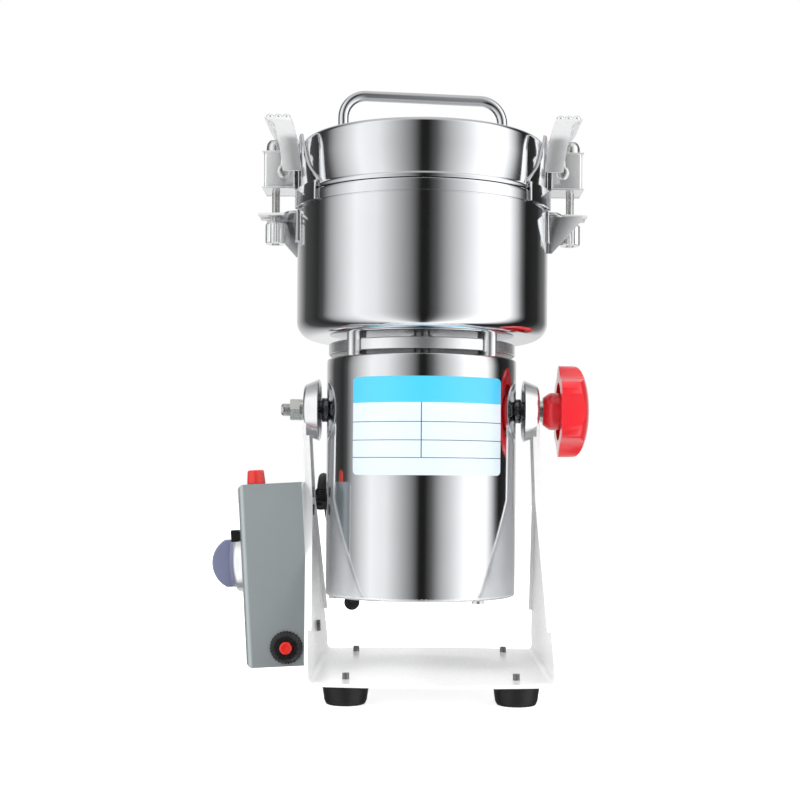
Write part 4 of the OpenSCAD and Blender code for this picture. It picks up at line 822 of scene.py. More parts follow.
class MILL_OT_stand(Operator):
    """The bent sheet stand with drawn heads and four rubber feet"""
    bl_idname = "mill.stand"
    bl_label = "Stand"

    # Radius from a head's face to its side, and radii of the holes for the screws and the studs
    soft = 0.0026
    screw_hole, stud_hole = 0.0021, 0.0040

    def execute(self, context):
        stand = settings("stand")
        base = shift(MILL_X + stand.base_shift, 0, 0)
        half, depth = stand.base_width / 2, stand.base_depth
        left, right = stand.arm_reach + stand.base_shift, stand.arm_reach - stand.base_shift
        head_foot = PIVOT_Z - stand.head_face / 2
        arm_top = PIVOT_Z + stand.head_face / 2
        foot_z, bend = stand.foot_height, stand.bend

        def path(t):
            return ([(-left + t, arm_top), (-left + t, head_foot)]
                    + arc(-half + bend, foot_z + bend, bend - t, 180, 270, 8)
                    + arc(half - bend, foot_z + bend, bend - t, 270, 360, 8)
                    + [(right - t, head_foot), (right - t, arm_top)])

        arm_foot = foot_z + bend + stand.sheet
        taper_low = arm_foot + (PIVOT_Z - arm_foot) * 0.045
        taper_top = PIVOT_Z - (PIVOT_Z - arm_foot) * 0.36
        neck = stand.neck / 2

        def side(inset, low=arm_foot, top=PIVOT_Z):
            return [(-depth / 2 + inset, low), (-depth / 2 + inset, taper_low)] + [
                (-neck + inset, taper_top), (-neck + inset, top), (neck - inset, top),
                (neck - inset, taper_top), (depth / 2 - inset, taper_low), (depth / 2 - inset, low)]

        sheet = traced("sheet", path(0) + path(stand.sheet)[::-1], depth * 1.3, turn=UPRIGHT)
        sides = traced("sides", side(0), 2 * stand.base_width, turn=SIDEWAYS)
        steps = 24
        front = [((half + MM) * s, -depth / 2 - stand.base_bow * (1 - s * s))
                 for s in [-1 + 2 * i / steps for i in range(steps + 1)]]
        plate = traced("plate", front + [(-x, -y) for x, y in front], arm_foot - foot_z + 2 * MM,
                       at=(0, 0, foot_z - MM), centred=False)
        carved(sides, plate, "UNION")
        carved(sheet, sides, "INTERSECT")
        flange = traced("flange", path(0) + path(stand.flange)[::-1], depth * 1.3, turn=UPRIGHT)
        rim = traced("rim", side(0), 2 * stand.base_width, turn=SIDEWAYS)
        inner = traced("inner", side(stand.sheet, arm_foot - MM, PIVOT_Z + MM), 3 * stand.base_width,
                       turn=SIDEWAYS)
        carved(rim, inner)
        for low, high in ((-depth, taper_low + depth * 0.1), (head_foot, 3 * head_foot)):
            carved(rim, block("trim", (1, 1, high - low), (0, 0, (low + high) / 2)))
        carved(flange, rim, "INTERSECT")
        carved(sheet, flange, "UNION")
        for spot in self.corners(stand):
            hole = turned("hole", [(self.screw_hole, foot_z - MM), (self.screw_hole, foot_z + 3 * MM)], SMALL)
            carved(sheet, placed(hole, spot))
        seat = stand.head_face / 2 - self.soft
        bore = turned("bore", [(seat, -0.2), (seat, 0.2)], ROUND)
        carved(sheet, placed(bore, shift(0, 0, PIVOT_Z) @ turn_y(90)))
        rounded(sheet, 0.0008, 3, 42)
        placed(sheet, base)
        heads = []
        for x, turn in ((right, 90), (-left, -90)):
            heads.append(self.head(stand, base @ shift(x, 0, PIVOT_Z) @ turn_y(turn)))
        kept(sheet, "stand", "polished_bracket", FINISHES["polished_sheet"], "stand_bracket", angle=40)
        sheet.name = "stand_frame"
        even_shading(sheet)
        kept(joined("drawn_heads", heads), "stand", "polished_bracket", FINISHES["drawn_steel"], angle=40)
        self.feet(stand, base)
        return {"FINISHED"}

    def corners(self, stand):
        return [shift(x * stand.foot_pitch_x / 2, y * stand.foot_pitch_y / 2, 0)
                for x in (-1, 1) for y in (-1, 1)]

    def head(self, stand, place):
        face, rim, deep, t = stand.head_face / 2, stand.head_rim / 2, stand.head_depth, stand.sheet
        soft = self.soft
        slope = math.degrees(math.atan2(rim - face, deep))
        shoulder = [(face - soft + soft * math.cos(math.radians(a)), -soft + soft * math.sin(math.radians(a)))
                    for a in (slope, 25, 40, 60, 75, 90)]
        hole = self.stud_hole
        profile = [(rim - t, -deep), (rim - t * 0.5, -deep - 0.0004), (rim, -deep + 0.0002),
                   (rim - 0.0004, -deep + 0.001)] + shoulder
        profile += [(face - soft - 0.0008, 0), (hole + 0.0002, 0), (hole, -0.0003), (hole, -t + 0.0003),
                    (hole + 0.0002, -t), (face - soft - 0.001, -t), (face - t, -t - 0.0012), (rim - t, -deep)]
        return placed(turned("head", profile, ROUND), place)

    def feet(self, stand, base):
        low, top, high = stand.foot_low / 2, stand.foot_top / 2, stand.foot_height
        hole = self.screw_hole
        profile = [(hole, high)] + off(top, high, (-1.2, 0), (-0.3, -0.4), (0, -1.2), (-0.4, -2.4))
        profile += off(low, 0, (1.4, 2.6), (0.8, 1.2), (0.2, 0.3), (-0.6, 0))
        profile += [(0.0060, 0), (0.0052, 0.0004), (0.0043, 0.0012), (0.0043, 0.0050), (hole, 0.0050),
                    (hole, high)]
        foot = turned("foot", profile, 72)
        feet = [copied(foot, base @ spot) for spot in self.corners(stand)]
        removed(foot)
        kept(joined("foot_pads", feet), "stand", "rubber", FINISHES["black_rubber"], "rubber_feet")


class MILL_OT_box(Operator):
    """The control box with its timer, switch, lamp and reset button"""
    bl_idname = "mill.box"
    bl_label = "Control box"

    def execute(self, context):
        box = settings("box")
        self.case(box)
        self.timer(box)
        self.switch(box)
        self.lamp(box)
        self.reset(box)
        return {"FINISHED"}

    def case(self, box):
        w, d, h, c = box.width, box.depth, box.height, box.corner

        def outline(low, high):
            """The box's cut with its two outer corners rounded."""
            corners = arc(w - c, low + c, c, -90, 0, 8) + arc(w - c, high - c, c, 0, 90, 8)
            return [(0, low)] + [(-x, y) for x, y in corners] + [(0, high)]

        shell = traced("shell", outline(-d / 2, d / 2), h, centred=False)
        side = outline(0, h)
        carved(shell, traced("side", side, 2 * d, turn=UPRIGHT), "INTERSECT")
        hollow = block("hollow", (w - 0.002, d - 0.004, h - 0.004), (-(w - 0.002) / 2 + 0.002, 0, h / 2))
        carved(shell, hollow)
        timer = turned("timer", [(0.0055, -0.01), (0.0055, 0.01)], SMALL)
        carved(shell, placed(timer, shift(-w, box.timer_y, box.timer_z) @ turn_y(90)))
        carved(shell, block("slot", (0.01, 0.0128, 0.0085), (-w, box.switch_y, box.switch_z)))
        ring = turned("ring", [(0.006, -0.01), (0.006, 0.01)], SMALL)
        carved(shell, placed(ring, shift(-box.ring_x, -d / 2, box.ring_z) @ turn_x(90)))
        rounded(shell, 0.0011, 3, 50)
        placed(shell, box_frame())
        kept(shell, "stand", "box_grey", FINISHES["box_paint"], "control_box", angle=40)
        even_shading(shell)

    def timer(self, box):
        face = box_frame() @ shift(-box.width, box.timer_y, box.timer_z) @ turn_y(-90)
        r, h = box.collar / 2, box.collar_rise
        well = box.disc / 2 + 0.0003
        rim = box.disc / 2 + 0.0018
        bore, floor = 0.0056, 0.0012
        collar = turned("timer_bezel", [
            (bore, 0), (r - 0.0004, 0), (r, 0.0005), (r, h * 0.16), (r - 0.0004, h * 0.22),
            (r - 0.0014, h * 0.32), (r - 0.0018, h * 0.4), (rim + 0.0012, h * 0.8), (rim + 0.0007, h * 0.93),
            (rim, h), (well + 0.0008, h), (well, h - 0.0006), (well, floor), (bore, floor), (bore, 0)], ROUND)
        spot = shift(r - 0.0031, 0, h * 0.6)
        tick = rounded(block("tick", (0.0004, 0.0004, h * 0.3), (r - 0.0031, 0, h * 0.6)), 0.0001, 1)
        placed(tick, spot @ turn_y(-16) @ spot.inverted())
        ticks = [copied(tick, turn_z(angle)) for angle in range(40, 330, 10)]
        removed(tick)
        kept(placed(joined("timer_bezel", [collar] + ticks), face), "stand", "collar",
             FINISHES["plated_steel"], "timer_collar")
        disc = box.disc / 2
        low = 0.0015
        top = low + h + 0.001
        plate = turned("disc", [(0.0030, -0.011), (0.0030, low), (disc - 0.0003, low), (disc, low + 0.0003),
                                (disc, top - 0.0008), (disc - 0.0003, top - 0.0002), (disc - 0.001, top),
                                (0.0004, top)], ROUND)
        reach = disc - 0.0003
        crown = reach * 1.15
        peak = h + box.fin_rise
        edge = math.degrees(math.asin(reach / crown))
        curve = [(crown * math.sin(math.radians(a)), peak - crown + crown * math.cos(math.radians(a)))
                 for a in [-edge + 2 * edge * i / 28 for i in range(29)]]
        fin = traced("fin", [(reach, top - 0.001), (-reach, top - 0.001)] + curve, box.fin,
                     turn=UPRIGHT)
        rounded(fin, 0.0014, 4, 50)
        mark = rounded(block("mark", (0.0009, 0.0012, 0.004), (reach * 0.3, 0, peak - 0.0022)), 0.0002, 2)
        kept(placed(joined("timer_grip", [plate, fin, mark]), face), "timer_knob", "timer_grip",
             FINISHES["violet_grip"], "timer_knob")

    def switch(self, box):
        place = box_frame() @ shift(-box.width, box.switch_y, box.switch_z)
        w, h, t = box.switch_w, box.switch_h, 0.0016
        bezel = block("bezel", (t, w, h), (-t / 2, 0, 0))
        rounded(bezel, 0.0006, 3)
        body = block("body", (0.0138, 0.0127, 0.0084), (0.0069, 0, 0))
        rounded(body, 0.0004, 2)
        window = block("window", (0.014, w * 0.62 + 0.0006, h * 0.6 + 0.0006), (0.0007, 0, 0))
        carved(joined("switch_bezel", [bezel, body]), window)
        frame_piece = placed(bpy.data.objects["switch_bezel"], place)
        kept(frame_piece, "stand", "black_plastic", FINISHES["black_plastic"], "switch_frame", angle=40)
        arm = h * 0.3 - 0.0001
        rise = 0.0022
        deep = h * 0.6 * 0.35
        outline = [(deep, -arm * 0.45), (-rise * 0.5, -arm * 0.94), (-rise, -arm * 0.9)]
        outline += [(-rise * 0.86, -arm * 0.45), (-rise * 0.72, 0), (-rise * 0.86, arm * 0.45)]
        outline += [(-rise, arm * 0.9), (-rise * 0.5, arm * 0.94), (deep, arm * 0.45)]
        key = traced("switch_key", outline, w * 0.62, turn=UPRIGHT)
        rounded(key, 0.0003, 2, 30)
        placed(key, place @ turn_y(-9))
        kept(key, "switch_rocker", "black_plastic", FINISHES["black_plastic"], "switch_rocker", angle=40)

    def lamp(self, box):
        place = box_frame() @ shift(-box.lamp_x, box.lamp_y, box.height)
        r, h = box.lamp / 2, box.lamp_rise
        lens = turned("lens", [(r * 0.97, 0), (r, 0.0004), (r * 0.985, 0.0012), (r * 0.88, h - 0.0007),
                               (r * 0.8, h - 0.0001), (r * 0.72, h), (r * 0.3, h - 0.0003)], 8)
        rounded(lens, 0.0004, 2, 30)
        skirt = turned("skirt", [(0.0039, -0.0084), (0.0039, 0.0002), (0.0001, 0.0002)], SMALL)
        kept(placed(joined("lamp_lens", [lens, skirt]), place), "stand", "red_lamp", FINISHES["red_clear"],
             "indicator_lamp", angle=30)

    def reset(self, box):
        face = box_frame() @ shift(-box.ring_x, -box.depth / 2, box.ring_z) @ turn_x(90)
        r, h = box.ring / 2 - 0.0003, 0.0034
        hole, seat = box.button / 2 + 0.0001, 0.006
        ring = turned("ring", [(seat, 0), (r - 0.0002, 0), (r, 0.0003), (r, h * 0.35), (r - 0.0012, h * 0.55),
                               (r * 0.74, h - 0.0002), (r * 0.72, h), (hole + 0.0004, h), (hole, h - 0.0004),
                               (hole, h * 0.5), (seat, h * 0.5), (seat, 0)], ROUND)
        rib = rounded(block("rib", (0.0006, 0.0009, h * 0.42), (r, 0, h * 0.21)), 0.00015, 1)
        ribs = [copied(rib, turn_z(i * 12)) for i in range(30)]
        removed(rib)
        kept(placed(joined("reset_ring", [ring] + ribs), face), "stand", "black_nylon",
             FINISHES["black_plastic"], "breaker_ring_nut")
        foot = -box.depth / 2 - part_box("reset_button")[1].y
        b, top = box.button / 2, 0.0064
        cap = turned("reset_cap", [(b, foot)] + off(b, top, (0, -1.1), (-0.2, -0.5), (-0.7, -0.1), (-1.2, 0))
                     + [(b * 0.3, top - 0.0004)], SMALL)
        kept(placed(cap, face), "reset_button", "red_button", FINISHES["red_clear"], "reset_button")


class MILL_OT_motor(Operator):
    """The motor housing, the plate below the jar and the label"""
    bl_idname = "mill.motor"
    bl_label = "Motor"

    def execute(self, context):
        motor = settings("motor")
        r, wall = motor.diameter / 2, motor.wall
        low, top = MOTOR_FOOT, MOTOR_TOP
        body = turned("motor_shell", [
            (r - 0.0030, low + 0.0001), (r - 0.0016, low), (r - 0.0006, low + 0.0003),
            (r - 0.0001, low + 0.0009), (r, low + 0.0018), (r, low + 0.006), (r, (low + top) / 2),
            (r, top - 0.006), (r, top - 0.0012), (r - 0.0003, top - 0.0004), (r - 0.0010, top),
            (r - 0.003, top), (0.007, top), (0.007, top - 0.002),
            (r - wall, top - 0.002), (r - wall, low + 0.002), (r - 0.003, low + 0.002),
            (r - 0.003, low + 0.0001)], FINE)
        bore = turned("bore", [(0.00402, -0.1), (0.00402, 0.1)], SMALL)
        carved(body, placed(bore, shift(0, 0, PIVOT_Z) @ turn_y(90)))
        placed(body, MILL)
        kept(body, "mill", "mirror_steel", FINISHES["mirror_steel"], "motor_housing", "motor_top", angle=40)
        plate_r = motor.disc / 2
        low, top = DISC_LOW.z, DISC_HIGH.z
        plate = turned("support_plate", [
            (0.007, low), (plate_r - 0.003, low), (plate_r - 0.0006, low), (plate_r, low + 0.0006),
            (plate_r, top - 0.0006), (plate_r - 0.0006, top), (plate_r - 0.003, top), (0.007, top),
            (0.007, low)], FINE)
        post_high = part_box("jar_posts")[1]
        post = 0.0044
        px, py = post_high.x - MILL_X - post, post_high.y - post
        for x in (-px, px):
            for y in (-1, 1):
                notch = block("notch", (2 * post + 0.0001, 0.03, 0.02), (x, y * (py + 0.015), low))
                carved(plate, notch)
                hole = turned("hole", [(post + 0.00005, low - MM), (post + 0.00005, top + MM)], SMALL)
                carved(plate, placed(hole, shift(x, y * py, 0)))
        # The plate's finish carries painted shade on its lower face
        kept(placed(plate, MILL), "mill", "machined_disc", FINISHES["disc_steel"], "support_disc")
        self.label(motor)
        return {"FINISHED"}

    def label(self, motor):
        low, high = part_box("rating_label")
        r, t, c = motor.diameter / 2 + 0.0001, 0.0004, 0.0025
        patch = turned("label_plate", [(r, low.z), (r + t, low.z), (r + t, high.z), (r, high.z),
                                       (r, low.z)], FINE)
        half = (r + t) * math.sin(motor.label_angle / 2)
        outline = (arc(half - c, high.z - c, c, 0, 90, 8) + arc(c - half, high.z - c, c, 90, 180, 8)
                   + arc(c - half, low.z + c, c, 180, 270, 8) + arc(half - c, low.z + c, c, 270, 360, 8))
        window = traced("window", outline, 2 * r, turn=UPRIGHT, at=(0, -r, 0))
        carved(patch, window, "INTERSECT")
        placed(patch, MILL @ turn_z(math.degrees(motor.label_turn)))
        kept(patch, "mill", "label", label_finish(), "rating_label", angle=40)


class MILL_OT_pivot(Operator):
    """The threaded pivot studs, their nuts and the red clamp knob"""
    bl_idname = "mill.pivot"
    bl_label = "Pivot and knob"

    # Where a stud's flange starts and ends, its radius, and the pitch of the thread
    flange, flange_end, flange_radius = 0.0525, 0.0564, 0.0069
    pitch = 0.00125

    def execute(self, context):
        motor = settings("motor")
        r, face = motor.stud / 2, motor.washer_face
        right = MILL @ shift(0, 0, PIVOT_Z) @ turn_y(90)
        left = MILL @ shift(0, 0, PIVOT_Z) @ turn_y(-90)
        low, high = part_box("pivot_studs")
        reach, short = MILL_X - low.x, high.x - MILL_X
        long_stud = self.stud(r, reach, [(r - 0.0006, reach - 0.0003)])
        short_stud = self.stud(r, short, [])
        nut = self.hex_nut(0.0073, 0.006, r)
        placed(nut, left @ shift(0, 0, face))
        studs = joined("threaded_studs", [placed(long_stud, left), placed(short_stud, right), nut])
        kept(studs, "mill", "zinc", FINISHES["zinc"], "pivot_studs", angle=30)
        boss_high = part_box("pivot_bosses")[1].x - MILL_X
        parts = []
        for side in (left, right):
            collar = turned("collar", [
                (r, 0.0576), (0.0074, 0.0576), (0.0074, 0.0605), (0.0072, 0.0609), (0.0060, 0.0609),
                (0.0060, boss_high - 0.0006), (0.0055, boss_high), (r, boss_high), (r, 0.0576)], SMALL)
            parts.append(placed(collar, side))
        collars = joined("pivot_collars", parts)
        kept(collars, "mill", "dark_screw", FINISHES["dark_steel"], "pivot_bosses", angle=30)
        self.knob(motor, right)
        return {"FINISHED"}

    def stud(self, r, end, tip):
        start = self.flange_end
        profile = [(0.0001, self.flange), (self.flange_radius, self.flange),
                   (self.flange_radius, start), (r, start)]
        profile += thread(r, self.pitch, start + 0.0008, end - 0.0008) + tip
        return turned("stud", profile + [(r - 0.001, end), (0.0001, end)], SMALL)

    def hex_nut(self, radius, height, bore):
        nut = turned("nut", [(radius, 0), (radius, height)], 6)
        wide, slope = radius * 1.02, radius * 0.08
        cone = turned("cone", [(radius * 0.90, 0), (wide, slope), (wide, height - slope),
                               (radius * 0.90, height)], SMALL)
        carved(nut, cone, "INTERSECT")
        hole = turned("hole", [(bore, -MM), (bore, height + MM)], SMALL)
        return carved(nut, hole)

    def knob(self, motor, place):
        hub_end = motor.washer_face + motor.hub_length
        lobe = motor.knob * 0.16
        outer = motor.knob / 2
        thick = motor.knob_thick
        outline = []
        for i in range(180):
            a = math.radians(i * 2)
            wave = motor.lobes * a
            reach = outer * (0.925 + 0.075 * math.cos(wave) - 0.014 * math.sin(wave) ** 2)
            outline.append((reach * math.cos(a), reach * math.sin(a)))
        head = traced("knob_head", outline, thick, centred=False)
        rise = thick * 0.49
        girth = outer * 0.993
        dome = [(outer + 0.0006, -MM), (girth, thick - rise)]
        dome += [(girth * math.cos(math.radians(a)), thick - rise + rise * math.sin(math.radians(a)))
                 for a in (8, 16, 24, 32, 40, 48, 56, 64, 72, 80, 86)] + [(0.0004, thick)]
        carved(head, turned("dome", dome, FINE), "INTERSECT")
        rounded(head, 0.0012, 4, 50)
        inside = outer - lobe * 0.8 - 0.003
        bowl = turned("bowl", [(inside, -MM), (inside, thick - 0.0036),
                               (inside - 0.0006, thick - 0.003)], ROUND)
        carved(head, bowl)
        placed(head, shift(0, 0, hub_end))
        hub = motor.hub / 2
        start = motor.washer_face
        bore, end = 0.00405, hub_end + thick - 0.002
        flare = off(hub, start, (-3.5, 0), (-2.8, 0.4), (-0.8, 3.2), (-0.2, 4.2), (0, 5.6))
        stem = turned("stem", [(bore, start)] + flare + [(hub, end), (bore, end), (bore, start)], ROUND)
        knob = joined("clamp_knob_head", [head, stem])
        kept(placed(knob, place), "clamp_knob", "red_knob", FINISHES["red_gloss"], "clamp_knob", angle=40)


class MILL_OT_jar(Operator):
    """The grinding jar and the lid with its handle and ears"""
    bl_idname = "mill.jar"
    bl_label = "Jar and lid"

    def execute(self, context):
        jar = settings("jar")
        self.jar(jar)
        self.lid(jar)
        self.handle(jar)
        self.ears(jar)
        return {"FINISHED"}

    def jar(self, jar):
        r, t, c = jar.diameter / 2, jar.wall, jar.corner
        low, top = JAR_LOW.z, JAR_TOP
        bead, proud = 0.0068, 0.4
        outside = [(0.011, low), (0.04, low), (r - c - 0.004, low)]
        outside += arc(r - c, low + c, c, -90, 0, 12)[1:] + [(r, low + 0.02)]
        outside += off(r, top - bead, (0, -3.0), (0, -1.1), (0, -0.9), (-0.3, -0.7), (-0.3, -0.3),
                       (proud, 0), (proud, 0.2), (proud, 1.4))
        outside += off(r, top, (proud, -2.0), (proud, -0.7), (0.2, -0.2), (-0.3, 0))
        inside = [(r - t + 0.0001, top), (r - t, top - 0.0003), (r - t, low + 0.02)]
        inside += arc(r - c, low + c, c - t, 0, -90, 12) + [(0.04, low + t), (0.011, low + t), (0.011, low)]
        body = placed(turned("jar_body", outside + inside, FINE), MILL)
        kept(body, "mill", "mirror_steel", FINISHES["mirror_steel"], "grinding_jar", angle=40)

    def lid(self, jar):
        r, c, top = jar.lid / 2, jar.lid_edge, LID_TOP
        low = JAR_TOP + 0.0003
        roll = jar.diameter / 2 + 0.0004
        wall = 0.001
        plug = jar.diameter / 2 - jar.wall - 0.002
        shell = [(0.0005, top), (0.03, top), (r - c - 0.004, top)]
        shell += arc(r - c, top - c, c, 90, 0, 12)[1:]
        shell += [(r, top - 0.014)] + off(r, low, (0, 4.0), (0.4, 3.1))
        shell += off(roll, low, (-1.0, 2.8), (-0.3, 2.5), (0, 1.8), (0, 0.9), (-0.4, 0.2), (-1.2, 0))
        shell += off(plug, low, (0, 0), (0, -7.4), (-0.4, -7.8))
        shell += [(plug - wall, low - 0.0078), (plug - wall, low + 0.0026), (r - wall, low + 0.0030),
                  (r - wall, top - c)]
        shell += arc(r - c, top - c, c - wall, 0, 90, 8)[1:] + [(0.03, top - wall), (0.0005, top - wall)]
        body = placed(turned("lid_dome", shell, FINE), MILL)
        kept(body, "lid", "mirror_steel", FINISHES["mirror_steel"], "lid_shell", angle=40)

    def handle(self, jar):
        rod, corner = jar.handle_rod / 2, jar.handle_corner - jar.handle_rod / 2
        leg = jar.handle_width / 2 - rod
        bar = LID_TOP + jar.handle_height - rod
        centre_line = [(leg, LID_TOP - 0.0002), (leg, LID_TOP + 0.006)]
        centre_line += arc(leg - corner, bar - corner, corner, 0, 90, 12)
        centre_line += [(-x, z) for x, z in centre_line[::-1]]
        clear()
        bpy.ops.curve.primitive_nurbs_path_add()
        line = bpy.context.object
        line.data.splines.clear()
        path = line.data.splines.new("POLY")
        path.points.add(len(centre_line) - 1)
        for point, (x, z) in zip(path.points, centre_line):
            point.co = (x, 0, z, 1)
        line.data.bevel_depth = rod
        line.data.bevel_resolution = 8
        line.data.use_fill_caps = True
        only(line)
        bpy.ops.object.convert(target="MESH")
        rod_piece = settle(bpy.context.object)
        weld = [(rod * 0.9, LID_TOP + 0.0018), (rod * 1.04, LID_TOP + 0.0013), (rod * 1.18, LID_TOP + 0.0008),
                (rod * 1.5, LID_TOP + 0.0002), (rod * 1.52, LID_TOP - 0.0001)]
        welds = [placed(turned("weld", weld, SMALL), shift(side * leg, 0, 0)) for side in (-1, 1)]
        piece = joined("lid_grip", [rod_piece] + welds)
        placed(piece, MILL @ Matrix.Rotation(jar.handle_turn, 4, "Z"))
        kept(piece, "lid", "clasp_chrome", FINISHES["mirror_steel"], "lid_handle", angle=50)

    def ears(self, jar):
        t, seat = 0.0016, 0.0001
        inner = jar.lid / 2
        outer = inner + t
        low = JAR_TOP + 0.0031
        top = LID_TOP + jar.lid_height * 0.09
        rise = top - low
        foot, waist, tip = jar.lid * 0.3, jar.lid * 0.22, jar.lid * 0.115
        # Half of an ear's outline: its foot, waist or tip, the share of that, and the share of the ear's rise
        half = [(foot, low - MM)] + [(reach * share, low + rise * height) for reach, share, height in (
            (foot, 0.97, 0.10), (foot, 0.93, 0.16), (waist, 1.12, 0.28), (waist, 1.02, 0.37),
            (waist, 0.94, 0.48), (waist, 0.86, 0.60), (waist, 0.78, 0.74), (tip, 1.24, 0.9))]
        half += [(tip * 1.1, top), (tip * 0.9, top + 0.0004)]
        outline = half + [(-y, z) for y, z in half[::-1]]
        made = []
        skirt_in = jar.diameter / 2 + 0.0007
        skirt_out, skirt_low = skirt_in + t, JAR_TOP - 0.0069
        section = off(inner, low, (0.8, 0.1), (0.8, 1.5))
        section += off(skirt_out, low + t, (-0.8, -0.1), (-0.2, -0.5), (0, -1.2))
        section += off(skirt_out, skirt_low, (0, 0.4), (-0.4, 0))
        section += off(skirt_in, skirt_low, (0.3, 0), (0, 0.4))
        section += off(skirt_in, low, (0, -0.6), (-0.4, 0.1)) + off(inner, low, (0.8, 0.1))
        # A skirt reaches from beside the clasp to this many degrees from the ear's middle
        start, end = math.degrees(math.asin(0.016 / skirt_out)), 37
        for turn in (0, 180):
            wing = turned("wing", [(inner + seat, low), (outer, low), (outer, top + MM),
                                   (inner + seat, top + MM), (inner + seat, low)], FINE)
            cutter = traced("cutter", outline, jar.lid, turn=SIDEWAYS, centred=False)
            carved(wing, cutter, "INTERSECT")
            rounded(wing, 0.0005, 2, 50)
            made.append(placed(wing, MILL @ turn_z(turn)))
            for flip in (-1, 1):
                skirt = turned("skirt", section, FINE)
                angles = [math.radians(flip * a) for a in (start, start + (end - start) / 2, end)]
                wedge = [(0, 0)] + [(0.2 * math.cos(a), 0.2 * math.sin(a)) for a in angles]
                keep = traced("keep", wedge, 0.2, at=(0, 0, JAR_TOP - 0.1), centred=False)
                carved(skirt, keep, "INTERSECT")
                rounded(skirt, 0.0003, 2, 60)
                made.append(placed(skirt, MILL @ turn_z(turn)))
        kept(joined("lid_wings", made), "lid", "clasp_chrome", FINISHES["mirror_steel"], "lid_ears", angle=40)


class MILL_OT_clasps(Operator):
    """The two clasps: bracket, case, threaded rod, arched lever and knurled nut"""
    bl_idname = "mill.clasps"
    bl_label = "Clasps"

    # Height of a case's foot and top, place of its pin, and height of the slot that the rod swings in
    case_low, case_top = 0.3036, 0.3264
    pin = (0.0846, 0.313632)
    swing_z = 0.2885
    # Each part's body, slot, node and finish; the side is added to the body and the node
    parts = {
        "case": ("clasp_", "clasp_chrome", "clasp_case_", "plated_steel"),
        "rod": ("clasp_", "zinc", "clasp_rod_", "zinc"),
        "lever": ("lever_", "clasp_chrome", "clasp_lever_", "bright_plating"),
        "nut": ("nut_", "zinc", "clasp_nut_", "bright_plating"),
    }

    def execute(self, context):
        jar = settings("jar")
        self.bracket(jar)
        right = {part: getattr(self, part)(jar) for part in self.parts}
        for side, turn in (("right", 0), ("left", 180)):
            for part, (body, slot, node_name, finish_name) in self.parts.items():
                piece = copied(right[part], MILL @ turn_z(turn))
                piece.name = f"latch_{part}_{side}"
                kept(piece, body + side, slot, FINISHES[finish_name], node_name + side, angle=40)
        for piece in right.values():
            removed(piece)
        return {"FINISHED"}

    def case(self, jar):
        out, deep, w = jar.rod_reach + 0.0063, 0.019, 0.024
        x0, low, top = out - deep, self.case_low, self.case_top
        shell = block("case", (deep, w, top - low), (x0 + deep / 2, 0, (low + top) / 2))
        rounded(shell, 0.0018, 4, 50)
        hollow = block("hollow", (deep, w - 0.003, top - low - 0.003),
                       (x0 + deep / 2 - 0.0015, 0, (low + top) / 2))
        carved(shell, hollow)
        parts = [shell]
        for z in (low + 0.0005, top - 0.0005):
            lip = block("lip", (deep + 0.001, w + 0.002, 0.001), (x0 + (deep + 0.001) / 2, 0, z))
            rounded(lip, 0.0004, 3)
            parts.append(lip)
        return joined("case", parts)

    def rod(self, jar):
        r, end = jar.rod / 2, self.swing_z - 0.0176
        cap, top = 0.006, self.case_top
        rod = turned("rod", [(0.0001, end), (r - 0.0006, end), (r - 0.0002, end + 0.0005)]
                     + thread(r, 0.0008, end + 0.0006, self.case_low - 0.0004)
                     + [(r, self.case_low), (r, top + 0.001), (0.0001, top + 0.001)], 32)
        dome = [(cap - 0.0003, top), (cap, top + 0.0003), (cap, top + cap * 0.7)]
        dome += [(cap * math.cos(a), top + cap * 0.7 + cap * math.sin(a))
                 for a in [math.radians(d) for d in (8, 16, 24, 32, 40, 46)]]
        button = turned("button", dome, SMALL)
        half = 0.0154
        bolt = turned("bolt", [(0.0001, -half), (0.0017, -half), (0.0017, half), (0.0001, half)], TINY)
        parts = [placed(rod, shift(jar.rod_reach, 0, 0)), placed(button, shift(jar.rod_reach, 0, 0))]
        spot = shift(self.pin[0], 0, self.pin[1])
        parts.append(placed(bolt, spot @ turn_x(90)))
        for side in (-1, 1):
            head = turned("head", [(0.0001, 0), (0.0031, 0), (0.00335, 0.0003), (0.00335, 0.0009),
                                   (0.0029, 0.0013), (0.0017, 0.0014), (0.0015, 0.0009),
                                   (0.0001, 0.0008)], TINY)
            parts.append(placed(head, spot @ shift(0, 0.0148 * side, 0) @ turn_x(-90 * side)))
        return joined("rod", parts)

    # Inner edge of a lever seen from the front, from its pin, in shares of the lever's height
    edge_shares = ((-0.343, -0.15), (-0.332, -0.024), (-0.306, 0.147), (-0.249, 0.425), (-0.213, 0.56),
                   (-0.171, 0.67), (-0.112, 0.79), (-0.112, 0.92))
    cheek_shares = ((-0.08, -0.05), (0.04, 0.09), (0.02, 0.4), (0.26, 0.84), (-0.09, 0.84), (-0.16, 0.4))
    # Thickness of a cheek, its place beside the case, and the distance between two finger ridges
    cheek, cheek_place, ridge_pitch = 0.0015, 0.01395, 0.00494

    def lever(self, jar):
        pin_x, pin_z = self.pin
        rise, span, strap, t, crown = 0.0385, 0.039, 0.011, 0.0018, 0.016
        top = pin_z + rise * 0.87
        low = top - rise
        shoulder = rise * 0.32

        def curve(half, height):
            points = [(half, low)]
            for i in range(45):
                a = math.pi * i / 44
                points.append((half * abs(math.cos(a)) ** 0.8 * (-1 if a > math.pi / 2 else 1),
                               low + shoulder + (height - low - shoulder) * math.sin(a) ** 0.9))
            return points + [(-half, low)]

        def edge(width, crown_width):
            line = [(pin_x + x * rise + (width if z < 0.7 else crown_width), pin_z + z * rise)
                    for x, z in self.edge_shares]
            return smoothed(line)

